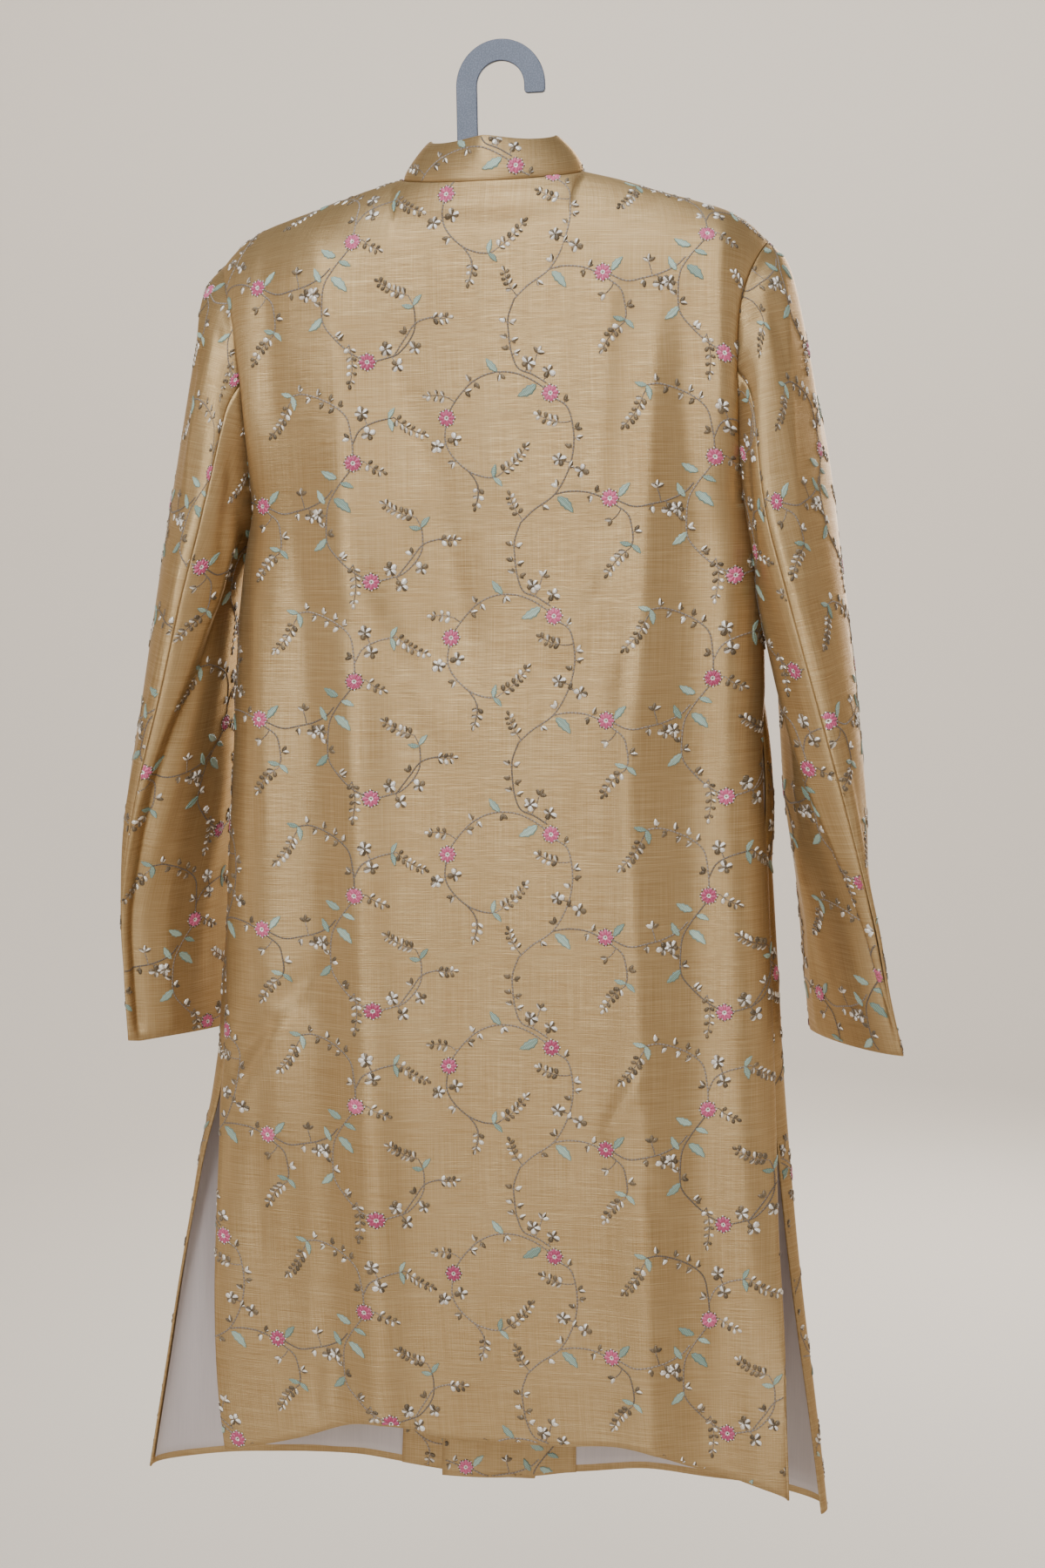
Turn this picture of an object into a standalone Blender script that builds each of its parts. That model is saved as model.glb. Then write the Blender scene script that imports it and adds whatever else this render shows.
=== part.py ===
"""Sherwani coat hanging on its hanger, in metres, +Z up.

The origin is the top of the hook's inner curve, where the rail or peg carries it.
The coat's back faces -Y and its fronts face +Y.
"Left" is the wearer's left, at -X, and "right" is the wearer's right, at +X.
Every cloth piece is a closed wall between an outer and an inner grid of points.
Both grids come from the same few tables of sections.
Neighbours that meet at a seam share its points and stay GAP apart.
"""

from collections import namedtuple
import math

import bmesh
import bpy
import numpy as np
from mathutils import Vector

# ---------------------------------------------------------------- driving sizes
WALL = 0.0020  # silk with its interlining
LINING_WALL = 0.0010
FACING_WALL = 0.0012
COLLAR_WALL = 0.0026
GAP = 0.0003  # between pieces that are sewn together or lie on each other

NECK_HALF = 0.074  # half the neckline's width at the shoulder seam
NECK_BACK_Y = -0.050
NECK_BACK_DROP = 0.011  # from the shoulder seam down to the middle of the back's neckline
NECK_FRONT_Y = 0.062
NECK_FRONT_DROP = 0.075  # from the shoulder seam down to the pit of the neck
SHOULDER_HALF = 0.2245
SHOULDER_ROUND = 0.062  # the drop over which the cloth turns from the seam to the back or the chest
UNDERARM_Z = -0.357
SLIT_TOP_Z = -0.810
HEM_Z = -1.200  # the level at which folds and overlap reach their hem values
OVERLAP = NECK_HALF / 2  # the fronts' overlap on each side of the centre line, at the neck
OVERLAP_GROWTH = 0.12  # and how much wider it is at the hem
LAP_EASE = 0.030  # the under front settles back to its own depth over this width
COLLAR_HEIGHT = 0.036
COLLAR_LEAN_SIDE = 0.021
COLLAR_LEAN_END = 0.006
COLLAR_LEAN_CURVE = 1.3  # above 1 the collar stands upright at its seam and leans higher up
COLLAR_END_REACH = 0.0015  # how far each end passes the centre line
COLLAR_END_ROUND = 0.28  # how much of the top row's end is taken off

SECTION_POWER = 2.9  # roundness of the torso's horizontal sections
SLEEVE_EDGE = 0.28  # how far a sleeve's section narrows towards its two seams
SLEEVE_FIT = 0.35  # the share of the sleeve's run over which its rings leave the armhole's own shape

POCKET_TOP_Z = -0.505
POCKET_BOTTOM_Z = -0.650
POCKET_DEPTH = 0.024
POCKET_BEYOND = 0.030  # how far the bag runs past each end of the mouth, at most
MOUTH_FRONT = (0.0055, 0.0060)  # how far the front lip gapes, outward and forward
MOUTH_BACK = (-0.0015, -0.0030)  # and the back lip

BUTTON_RADIUS = 0.009
BUTTON_HEIGHT = 0.0055
BUTTON_COUNT = 7
BUTTON_TOP_Z = -0.200
BUTTON_SPACING = 0.090

TINY = 1e-6
HEM_BAND = 0.011  # the cloth turned in along the hem, which the lining leaves bare

# ---------------------------------------------------------------- tables of sections
Middle = namedtuple("Middle", "z back front")
MIDDLE = (
    # x of the back's middle and of the fronts' centre line
    Middle(-0.090, -0.007, -0.007),
    Middle(-0.150, -0.011, -0.010),
    Middle(-0.357, -0.010, -0.013),
    Middle(-0.650, -0.018, -0.024),
    Middle(-0.900, -0.020, -0.033),
    Middle(-1.210, -0.017, -0.045),
)

Shoulder = namedtuple("Shoulder", "out z y")
SHOULDER = (
    # the shoulder seam: distance from the middle, height and depth
    Shoulder(0.074, -0.0900, 0.000),
    Shoulder(0.104, -0.0975, 0.002),
    Shoulder(0.139, -0.1085, 0.004),
    Shoulder(0.167, -0.1165, 0.007),
    Shoulder(0.195, -0.1265, 0.010),
    Shoulder(0.211, -0.1370, 0.011),
    Shoulder(0.2245, -0.1500, 0.012),
)

Armhole = namedtuple("Armhole", "drop half back front")
ARMHOLE = (
    # drop runs from 0 at the shoulder tip to 1 at the underarm
    # back and front are the depths of its two sides
    Armhole(0.00, 0.2245, 0.036, 0.048),
    Armhole(0.10, 0.2150, 0.037, 0.049),
    Armhole(0.22, 0.2070, 0.039, 0.050),
    Armhole(0.40, 0.2025, 0.040, 0.050),
    Armhole(0.62, 0.2005, 0.037, 0.046),
    Armhole(0.82, 0.2000, 0.026, 0.033),
    Armhole(0.93, 0.2005, 0.013, 0.017),
    Armhole(1.00, 0.2015, 0.000, 0.000),
)

Edges = namedtuple("Edges", "z left_x left_y right_x right_y")
SIDE_SEAM = (
    Edges(-0.357, -0.2115, 0.000, 0.1915, 0.000),
    Edges(-0.400, -0.2180, -0.003, 0.1975, -0.003),
    Edges(-0.450, -0.2255, -0.005, 0.2025, -0.005),
    Edges(-0.505, -0.2305, -0.007, 0.2035, -0.007),
    Edges(-0.575, -0.2355, -0.008, 0.2045, -0.008),
    Edges(-0.645, -0.2415, -0.009, 0.2080, -0.009),
    Edges(-0.720, -0.2460, -0.010, 0.2105, -0.010),
    Edges(SLIT_TOP_Z, -0.2515, -0.012, 0.2135, -0.012),
)
BACK_SLIT = (
    SIDE_SEAM[-1],
    Edges(-0.860, -0.2540, -0.020, 0.2150, -0.021),
    Edges(-0.940, -0.2570, -0.031, 0.2180, -0.034),
    Edges(-1.020, -0.2590, -0.040, 0.2235, -0.048),
    Edges(-1.095, -0.2570, -0.046, 0.2265, -0.060),
    Edges(-1.165, -0.2500, -0.050, 0.2285, -0.070),
)
FRONT_SLIT = (
    SIDE_SEAM[-1],
    Edges(-0.860, -0.2660, -0.002, 0.2165, -0.004),
    Edges(-0.900, -0.2800, 0.006, 0.2195, 0.002),
    Edges(-0.963, -0.2975, 0.016, 0.2250, 0.008),
    Edges(-1.040, -0.3170, 0.023, 0.2335, 0.011),
    Edges(-1.128, -0.3355, 0.028, 0.2445, 0.013),
    Edges(-1.210, -0.3510, 0.030, 0.2540, 0.012),
)

Depth = namedtuple("Depth", "z back front reach_left reach_right")
DEPTH = (
    # depth of the back and of the chest, and how far each front swells sideways past the side seam
    Depth(-0.090, 0.052, 0.060, 0.000, 0.000),
    Depth(-0.260, 0.057, 0.065, 0.000, 0.000),
    Depth(-0.357, 0.059, 0.068, 0.001, 0.001),
    Depth(-0.505, 0.058, 0.069, 0.006, 0.004),
    Depth(-0.645, 0.056, 0.069, 0.012, 0.008),
    Depth(-0.810, 0.055, 0.069, 0.020, 0.012),
    Depth(-0.900, 0.055, 0.069, 0.012, 0.012),
    Depth(-1.040, 0.055, 0.068, 0.003, 0.010),
    Depth(-1.210, 0.056, 0.066, 0.000, 0.007),
)

Hem = namedtuple("Hem", "across z")
BACK_HEM = (
    # across runs from -1 at the left corner to 1 at the right corner
    Hem(-1.00, -1.152),
    Hem(-0.72, -1.135),
    Hem(-0.42, -1.115),
    Hem(-0.18, -1.127),
    Hem(0.20, -1.130),
    Hem(0.54, -1.130),
    Hem(0.68, -1.143),
    Hem(0.84, -1.152),
    Hem(1.00, -1.160),
)
FRONT_HEM = (
    # across runs from 0 at the centre line to 1 at the slit's corner
    Hem(-0.20, -1.213),
    Hem(0.00, -1.213),
    Hem(0.30, -1.205),
    Hem(0.60, -1.198),
    Hem(1.00, -1.207),
)

Fold = namedtuple("Fold", "top_x hem_x width depth top_z full_z")
BACK_FOLDS = (
    # pressed ridges and the hollows beside them: depth is outward where positive
    Fold(-0.126, -0.112, 0.026, 0.0065, -0.20, -0.55),
    Fold(-0.060, -0.046, 0.045, -0.0050, -0.22, -0.60),
    Fold(0.113, 0.116, 0.030, 0.0065, -0.20, -0.50),
    Fold(0.165, 0.172, 0.032, -0.0050, -0.24, -0.60),
)
LEFT_FOLDS = (
    Fold(-0.130, -0.160, 0.034, 0.0055, -0.24, -0.60),
    Fold(-0.185, -0.245, 0.036, -0.0050, -0.40, -0.80),
)
RIGHT_FOLDS = (
    Fold(0.110, 0.092, 0.034, 0.0055, -0.24, -0.60),
    Fold(0.160, 0.152, 0.034, -0.0045, -0.30, -0.70),
)

Ring = namedtuple("Ring", "x y z flat thick turn lift")
LEFT_SLEEVE = (
    # centre (x outward from the coat's middle), half width along the fold, half thickness,
    # turn of the back seam outward in degrees, and rise of the outer side over the centre
    Ring(0.2230, 0.003, -0.2535, 0.042, 0.0120, 0.0, 0.1035),
    Ring(0.2325, 0.004, -0.2720, 0.050, 0.0175, -6.0, 0.1000),
    Ring(0.2425, 0.006, -0.3085, 0.061, 0.0205, -10.0, 0.0835),
    Ring(0.2545, 0.009, -0.3590, 0.071, 0.0250, -10.0, 0.0590),
    Ring(0.2660, 0.011, -0.4200, 0.078, 0.0300, -6.0, 0.0350),
    Ring(0.2805, 0.014, -0.5150, 0.078, 0.0345, 2.0, 0.0130),
    Ring(0.2925, 0.018, -0.6050, 0.075, 0.0330, 15.0, 0.0040),
    Ring(0.2985, 0.024, -0.6900, 0.070, 0.0190, 29.0, 0.0000),
    Ring(0.3000, 0.028, -0.7450, 0.067, 0.0150, 32.0, 0.0000),
    Ring(0.2995, 0.032, -0.8040, 0.064, 0.0140, 36.0, 0.0000),
)
RIGHT_SLEEVE = (
    Ring(0.2025, 0.003, -0.2535, 0.042, 0.0110, 0.0, 0.1035),
    Ring(0.2115, 0.004, -0.2710, 0.050, 0.0175, -6.0, 0.1010),
    Ring(0.2205, 0.006, -0.3085, 0.061, 0.0200, -12.0, 0.0835),
    Ring(0.2300, 0.009, -0.3590, 0.071, 0.0230, -14.0, 0.0590),
    Ring(0.2390, 0.011, -0.4200, 0.078, 0.0275, -8.0, 0.0350),
    Ring(0.2490, 0.014, -0.5150, 0.078, 0.0320, 3.0, 0.0140),
    Ring(0.2563, 0.018, -0.6050, 0.075, 0.0290, 15.0, 0.0040),
    Ring(0.2640, 0.022, -0.6900, 0.070, 0.0170, 26.0, 0.0000),
    Ring(0.2710, 0.026, -0.7450, 0.067, 0.0150, 31.0, 0.0000),
    Ring(0.2800, 0.030, -0.8020, 0.064, 0.0140, 38.0, 0.0000),
)

# ---------------------------------------------------------------- grids
ARM_STEPS = 10  # rows from shoulder to underarm, and half the columns round a sleeve
SIDE_STEPS = 10  # rows from underarm to slit
SKIRT_STEPS = 6  # rows from slit to the hem's band
EDGE_STEP = 0.05  # the place of the column nearest a side edge, as a share of the way to the neck
BACK_SIDE_COLUMNS = 8  # from the side seam to the neck
BACK_NECK_COLUMNS = 10
FRONT_SIDE_COLUMNS = 7
FRONT_NECK_COLUMNS = 6  # from the neck's side to the centre line
LAP_COLUMNS = 2  # past the centre line
FACING_COLUMNS = 6  # from its inner edge to the front edge
COLUMN_EVENNESS = 0.35  # 1 spaces the side columns evenly, 0 crowds them at the edge
SLEEVE_STEPS = 12
SLEEVE_CROWDING = 1.25  # above 1 the sleeve's rows are closer near the armhole
COLLAR_STEPS = 3


def smooth(places, values, at):
    """A value at a place, smooth through every given pair of place and value."""
    if places[0] > places[-1]:
        places, values = places[::-1], values[::-1]
    slopes = np.gradient(values, places)
    at = min(max(at, places[0]), places[-1])
    i = min(int(np.searchsorted(places, at, side="right")) - 1, len(places) - 2)
    step = places[i + 1] - places[i]
    t = (at - places[i]) / step
    start = values[i] * (1 + 2 * t) * (1 - t) ** 2 + slopes[i] * step * t * (1 - t) ** 2
    end = values[i + 1] * (3 - 2 * t) * t**2 - slopes[i + 1] * step * (1 - t) * t**2
    return start + end


def smooth_value(rows, name, at):
    """A table's named column at a place along its first column."""
    return smooth(np.array([row[0] for row in rows]), np.array([getattr(row, name) for row in rows]), at)


def ease(t):
    """0 to 1 with level ends."""
    t = min(max(t, 0.0), 1.0)
    return t * t * (3 - 2 * t)


def quarter_round(t):
    """0 to 1 along a quarter of a circle that starts level."""
    t = min(max(t, 0.0), 1.0)
    return math.sqrt(1 - (1 - t) ** 2)


def bulge(u):
    """Depth of a rounded section at u: 1 in the middle and 0 at its edge."""
    return (1 - min(abs(u), 1.0) ** SECTION_POWER) ** (1 / SECTION_POWER)


def arm_drops():
    """Rows of the armhole, closer at its top and its bottom."""
    return [(1 - math.cos(math.pi * i / ARM_STEPS)) / 2 for i in range(ARM_STEPS + 1)]


def side_levels():
    """Heights of the rows from below the underarm to the top of the slit."""
    return [UNDERARM_Z + (SLIT_TOP_Z - UNDERARM_Z) * i / SIDE_STEPS for i in range(1, SIDE_STEPS + 1)]


def skirt_drops():
    """Rows of the skirt as shares of the way from the slit's top to the hem."""
    band = 1 - HEM_BAND / (SLIT_TOP_Z - BACK_HEM[0].z)
    return [band * i / SKIRT_STEPS for i in range(1, SKIRT_STEPS + 1)] + [1.0]


def side_shares(count):
    """Columns from a side edge (1) towards the neck (0), closer where the section turns."""
    places = [0.0, EDGE_STEP] + [i / count for i in range(1, count)]
    even = COLUMN_EVENNESS
    return [even * (1 - t) + (1 - even) * math.sin(math.pi / 2 * (1 - t)) for t in places]


def shoulder_point(out):
    """Height and depth of the top edge of the back at a distance from its middle."""
    if out < NECK_HALF:
        inside = math.sqrt(max(0.0, 1 - (out / NECK_HALF) ** 2))
        edge = SHOULDER[0]
        return edge.z - NECK_BACK_DROP * inside, edge.y + (NECK_BACK_Y - edge.y) * inside
    return smooth_value(SHOULDER, "z", out), smooth_value(SHOULDER, "y", out)


def neck_point(out):
    """Height and depth of the top edge of a front."""
    if out < NECK_HALF:
        inside = math.sqrt(max(0.0, 1 - (max(out, 0.0) / NECK_HALF) ** 2))
        edge = SHOULDER[0]
        return edge.z - NECK_FRONT_DROP * inside, edge.y + (NECK_FRONT_Y - edge.y) * inside
    return smooth_value(SHOULDER, "z", out), smooth_value(SHOULDER, "y", out)


def fold_depth(folds, x, z):
    """How far the pressed folds lift the cloth at a place."""
    total = 0.0
    for fold in folds:
        run = (z - fold.top_z) / (HEM_Z - fold.top_z)
        middle = fold.top_x + (fold.hem_x - fold.top_x) * min(max(run, 0.0), 1.0)
        strength = ease((z - fold.top_z) / (fold.full_z - fold.top_z))
        total += fold.depth * strength * math.exp(-(((x - middle) / fold.width) ** 2))
    return total


def mouth_gape(z):
    """0 to 1 along the pocket's mouth."""
    t = (z - POCKET_TOP_Z) / (POCKET_BOTTOM_Z - POCKET_TOP_Z)
    return math.sin(math.pi * t) if 0 < t < 1 else 0.0


def edge_point(slit, side, z):
    """A panel's side edge at a height: the seam with its pocket's mouth held open, then the slit's edge."""
    name = "left" if side < 0 else "right"
    rows = SIDE_SEAM if z >= SLIT_TOP_Z else slit
    x = smooth_value(rows, name + "_x", z)
    y = smooth_value(rows, name + "_y", z)
    outward_gape, forward_gape = MOUTH_FRONT if slit is FRONT_SLIT else MOUTH_BACK
    return x + side * outward_gape * mouth_gape(z), y + forward_gape * mouth_gape(z)


# ---------------------------------------------------------------- the back
def back_columns():
    """Places across the back from -1 to 1; the neck's own columns are among them."""
    neck = NECK_HALF / SHOULDER_HALF
    half = [neck + (1 - neck) * share for share in side_shares(BACK_SIDE_COLUMNS)]
    inner = [neck * math.cos(math.pi * i / BACK_NECK_COLUMNS) for i in range(BACK_NECK_COLUMNS // 2)]
    right = half + inner
    return [-u for u in right] + [0.0] + right[::-1]


def back_arm_point(u, drop):
    """A point of the back between the shoulder seam (drop 0) and the underarm (drop 1)."""
    top_z, top_y = shoulder_point(abs(u) * SHOULDER_HALF)
    z = top_z + (UNDERARM_Z - top_z) * drop
    half = smooth_value(ARMHOLE, "half", drop)
    x = smooth_value(MIDDLE, "back", z) + u * half
    edge = smooth_value(ARMHOLE, "back", drop)
    depth = edge + (smooth_value(DEPTH, "back", z) - edge) * bulge(u)
    depth += fold_depth(BACK_FOLDS, x, z) * bulge(u)
    turn = quarter_round((top_z - z) / SHOULDER_ROUND)
    return x, top_y + (-depth - top_y) * turn, z


def back_skirt_point(u, z):
    """A point of the back at a height below the underarm."""
    left_x, left_y = edge_point(BACK_SLIT, -1, z)
    right_x, right_y = edge_point(BACK_SLIT, 1, z)
    x = left_x + (right_x - left_x) * (u + 1) / 2
    edge_y = left_y + (right_y - left_y) * (u + 1) / 2
    depth = smooth_value(DEPTH, "back", z)
    folds = fold_depth(BACK_FOLDS, x, z) * bulge(u) ** 0.5
    return x, edge_y + (-depth - edge_y) * bulge(u) - folds, z


def back_grid():
    columns = back_columns()
    rows = [[back_arm_point(u, drop) for u in columns] for drop in arm_drops()]
    rows += [[back_skirt_point(u, z) for u in columns] for z in side_levels()]
    hem = [smooth_value(BACK_HEM, "z", u) for u in columns]
    for t in skirt_drops():
        rows.append([back_skirt_point(u, SLIT_TOP_Z + (h - SLIT_TOP_Z) * t) for u, h in zip(columns, hem)])
    return np.array(rows)


# ---------------------------------------------------------------- the fronts
def front_columns():
    """Distances from the centre line at the shoulder's width, from the side seam to past the centre."""
    outs = [NECK_HALF + (SHOULDER_HALF - NECK_HALF) * share for share in side_shares(FRONT_SIDE_COLUMNS)]
    step = math.pi / 2 / FRONT_NECK_COLUMNS
    outs += [NECK_HALF * math.cos(step * i) for i in range(FRONT_NECK_COLUMNS)]
    outs.append(0.0)
    outs += [-out for out in outs[-2 : -2 - LAP_COLUMNS : -1]]
    return outs


def front_distance(out, width, z):
    """A column's real distance from the centre line where the front is so wide."""
    growth = 1 + OVERLAP_GROWTH * max(0.0, (UNDERARM_Z - z) / (UNDERARM_Z - HEM_Z))
    lap = OVERLAP * growth
    if out <= OVERLAP:
        return out * growth
    return lap + (out - OVERLAP) * (width - lap) / (SHOULDER_HALF - OVERLAP)


def lap_drop(side, distance):
    """How much further in the under front lies where the other front covers it."""
    if side < 0:
        return 0.0
    stack = WALL + GAP + FACING_WALL + GAP
    return stack * (1 - ease((distance - OVERLAP * (1 + OVERLAP_GROWTH)) / LAP_EASE))


def front_arm_point(side, out, drop):
    top_z = neck_point(out)[0]
    z = top_z + (UNDERARM_Z - top_z) * drop
    half = smooth_value(ARMHOLE, "half", drop)
    back_middle = smooth_value(MIDDLE, "back", z)
    middle = smooth_value(MIDDLE, "front", z)
    width = half + side * (back_middle - middle)
    distance = front_distance(out, width, z)
    x = middle + side * distance
    share = bulge(distance / width)
    edge = smooth_value(ARMHOLE, "front", drop)
    depth = edge + (smooth_value(DEPTH, "front", z) - edge) * share
    folds = LEFT_FOLDS if side < 0 else RIGHT_FOLDS
    depth += fold_depth(folds, x, z) * share
    covered_z, covered_y = neck_point(abs(out))
    turn = quarter_round((covered_z - z) / SHOULDER_ROUND)
    return x, covered_y + (depth - covered_y) * turn - lap_drop(side, distance), z


def front_skirt_point(side, out, z):
    middle = smooth_value(MIDDLE, "front", z)
    edge_x, edge_y = edge_point(FRONT_SLIT, side, z)
    width = side * (edge_x - middle)
    distance = front_distance(out, width, z)
    share = bulge(distance / width)
    reach = smooth_value(DEPTH, "reach_left" if side < 0 else "reach_right", z)
    x = middle + side * (distance + reach * math.sin(math.pi * share))
    folds = LEFT_FOLDS if side < 0 else RIGHT_FOLDS
    depth = smooth_value(DEPTH, "front", z) + fold_depth(folds, x, z) * share**0.5
    return x, edge_y + (depth - edge_y) * share - lap_drop(side, distance), z


def front_hem(out):
    return smooth_value(FRONT_HEM, "z", out / SHOULDER_HALF)


def front_grid(side):
    outs = front_columns()
    rows = [[front_arm_point(side, out, drop) for out in outs] for drop in arm_drops()]
    rows += [[front_skirt_point(side, out, z) for out in outs] for z in side_levels()]
    for t in skirt_drops():
        row = [front_skirt_point(side, out, SLIT_TOP_Z + (front_hem(out) - SLIT_TOP_Z) * t) for out in outs]
        rows.append(row)
    return np.array(rows)


# ---------------------------------------------------------------- sleeves
def sleeve_point(side, run, angle):
    """A point of a sleeve.

    run goes from the armhole to the cuff and angle from the back seam over the outer side.
    """
    rings = np.array(LEFT_SLEEVE if side < 0 else RIGHT_SLEEVE)
    places = np.linspace(0.0, 1.0, len(rings))
    ring = Ring(*[smooth(places, column, run) for column in rings.T])
    turn = math.radians(ring.turn)
    along = math.cos(angle)
    across = math.sin(angle)
    across *= abs(across) ** (SLEEVE_EDGE * ease(run * 2))
    out_x = ring.x + ring.flat * math.sin(turn) * along + ring.thick * math.cos(turn) * across
    y = ring.y - ring.flat * math.cos(turn) * along + ring.thick * math.sin(turn) * across
    z = ring.z + ring.lift * across
    return np.array([side * out_x, y, z])


def armhole_point(side, angle):
    """The armhole's seam at a sleeve's angle."""
    drop = (1 - math.sin(angle)) / 2
    if math.cos(angle) >= 0:
        return np.array(back_arm_point(side, drop))
    return np.array(front_arm_point(side, SHOULDER_HALF, drop))


def sleeve_runs():
    return [(i / SLEEVE_STEPS) ** SLEEVE_CROWDING for i in range(SLEEVE_STEPS + 1)]


def sleeve_grid(side, first, last):
    """The rows and columns of one sleeve piece between two of the sleeve's columns."""
    rows = []
    for run in sleeve_runs():
        row = []
        for j in range(first, last + 1):
            angle = math.pi * j / ARM_STEPS
            point = sleeve_point(side, run, angle)
            fit = (1 - min(run / SLEEVE_FIT, 1.0)) ** 2
            point += fit * (armhole_point(side, angle) - sleeve_point(side, 0.0, angle))
            point[0] += side * GAP
            row.append(point)
        rows.append(row)
    return np.array(rows)


# ---------------------------------------------------------------- collar
def neckline():
    """The neckline's points from the left front's centre edge round the back to the right front's."""
    step = math.pi / 2 / FRONT_NECK_COLUMNS
    outs = [NECK_HALF * math.sin(step * i) for i in range(FRONT_NECK_COLUMNS)]
    left = [front_arm_point(-1, out, 0.0) for out in outs]
    back = [back_arm_point(u, 0.0) for u in back_columns() if abs(u) * SHOULDER_HALF < NECK_HALF + TINY]
    right = [front_arm_point(1, out, 0.0) for out in outs[::-1]]
    return np.array(left + back + right)


# ---------------------------------------------------------------- making objects
def clear_scene():
    for item in list(bpy.data.objects):
        bpy.data.objects.remove(item, do_unlink=True)


def collection(name):
    made = bpy.data.collections.new(name)
    bpy.context.scene.collection.children.link(made)
    return made


def finish(name, colour, roughness, metallic=0.0):
    material = bpy.data.materials.new(name)
    material.use_nodes = True
    shader = material.node_tree.nodes["Principled BSDF"]
    shader.inputs["Base Color"].default_value = (*colour, 1.0)
    shader.inputs["Roughness"].default_value = roughness
    shader.inputs["Metallic"].default_value = metallic
    return material


def add_mesh(name, verts, faces, material):
    mesh = bpy.data.meshes.new(name)
    mesh.from_pydata([tuple(v) for v in verts], [], faces)
    mesh.materials.append(material)
    made = bpy.data.objects.new(name, mesh)
    COAT.objects.link(made)
    shape = bmesh.new()
    shape.from_mesh(mesh)
    bmesh.ops.recalc_face_normals(shape, faces=shape.faces)
    shape.to_mesh(mesh)
    shape.free()
    mesh.shade_smooth()
    mesh.set_sharp_from_angle(angle=math.radians(50))


def outward(points, flip):
    """Unit normals of a grid of points; flip turns them to the other side."""
    down = np.gradient(points, axis=0)
    across = np.gradient(points, axis=1)
    normals = np.cross(down, across) * (-1 if flip else 1)
    return normals / np.linalg.norm(normals, axis=2, keepdims=True)


def unit(vectors):
    vectors = np.asarray(vectors, float)
    return vectors / np.linalg.norm(vectors, axis=-1, keepdims=True)


def wall(name, outer, inner, material):
    """A closed wall between two grids of points of the same size."""
    rows, columns = outer.shape[:2]
    verts = np.concatenate([outer.reshape(-1, 3), inner.reshape(-1, 3)])
    inside = rows * columns

    def at(i, j):
        return i * columns + j

    faces = []
    for i in range(rows - 1):
        for j in range(columns - 1):
            quad = (at(i, j), at(i + 1, j), at(i + 1, j + 1), at(i, j + 1))
            for corner in (quad[:3], (quad[0], quad[2], quad[3])):
                faces.append(corner)
                faces.append(tuple(inside + k for k in reversed(corner)))
    rim = [at(0, j) for j in range(columns)]
    rim += [at(i, columns - 1) for i in range(1, rows)]
    rim += [at(rows - 1, j) for j in range(columns - 2, -1, -1)]
    rim += [at(i, 0) for i in range(rows - 2, 0, -1)]
    for here, there in zip(rim, rim[1:] + rim[:1]):
        faces.append((here, there, inside + there, inside + here))
    add_mesh(name, verts, faces, material)


SEAM_OUTWARD = 0.45  # the armhole's wall at the shoulder tip points this much outward
SEAM_UPWARD = 0.90  # and this much up


def seam_direction(side, angle):
    """Direction of the wall at the armhole, shared by the body and the sleeve on its upper half."""
    rise = max(math.sin(angle), 0.0)
    return unit([side * SEAM_OUTWARD * rise, -math.cos(angle), SEAM_UPWARD * rise])


def underarm_direction(side, angle, outwards):
    """On the lower half the body's wall faces the sleeve and the sleeve's wall faces the body."""
    return unit([side * outwards * abs(math.sin(angle)), -math.cos(angle), 0.0])


def set_armhole_directions(normals, side, column, facing):
    """Give a body panel's armhole edge the directions that the sleeve's edge has."""
    for i in range(ARM_STEPS + 1):
        angle = math.pi / 2 - math.pi * i / ARM_STEPS
        if facing > 0:
            angle = math.pi - angle
        lower = math.sin(angle) < -TINY
        normals[i, column] = underarm_direction(side, angle, 1) if lower else seam_direction(side, angle)


def set_body_directions(normals, points, side_columns, neck_out):
    """Directions of the wall along a panel's seams, so that it meets its neighbours squarely."""
    for side, column in side_columns:
        for i in range(ARM_STEPS, ARM_STEPS + SIDE_STEPS + 1):
            normals[i, column] = (side, 0.0, 0.0)
    for j in range(points.shape[1]):
        out = neck_out(j)
        if out > NECK_HALF - TINY:
            normals[0, j] = (0.0, 0.0, 1.0)
        else:
            lift = (max(out, 0.0) / NECK_HALF) ** 3
            level = unit([normals[0, j, 0], normals[0, j, 1], 0.0])
            normals[0, j] = unit(level * (1 - lift) + np.array([0.0, 0.0, 1.0]) * lift)


def part_at_shoulder(points, direction, neck_out):
    """Move a panel's shoulder edge half a gap off the seam."""
    for j in range(points.shape[1]):
        if neck_out(j) > NECK_HALF - TINY:
            points[0, j, 1] += direction * GAP / 2


def part_at_side(points, column, direction):
    """Move a panel's side edge half a gap off the seam."""
    points[ARM_STEPS : ARM_STEPS + SIDE_STEPS + 1, column, 1] += direction * GAP / 2


def make_back(material):
    points = back_grid()
    columns = back_columns()
    last = len(columns) - 1

    def out(j):
        return abs(columns[j]) * SHOULDER_HALF

    normals = outward(points, flip=False)
    set_body_directions(normals, points, ((-1, 0), (1, last)), out)
    for side, column in ((-1, 0), (1, last)):
        set_armhole_directions(normals, side, column, -1)
        part_at_side(points, column, -1)
    part_at_shoulder(points, -1, out)
    wall("back", points, points - WALL * normals, material)
    return points - (WALL + GAP) * normals


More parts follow.
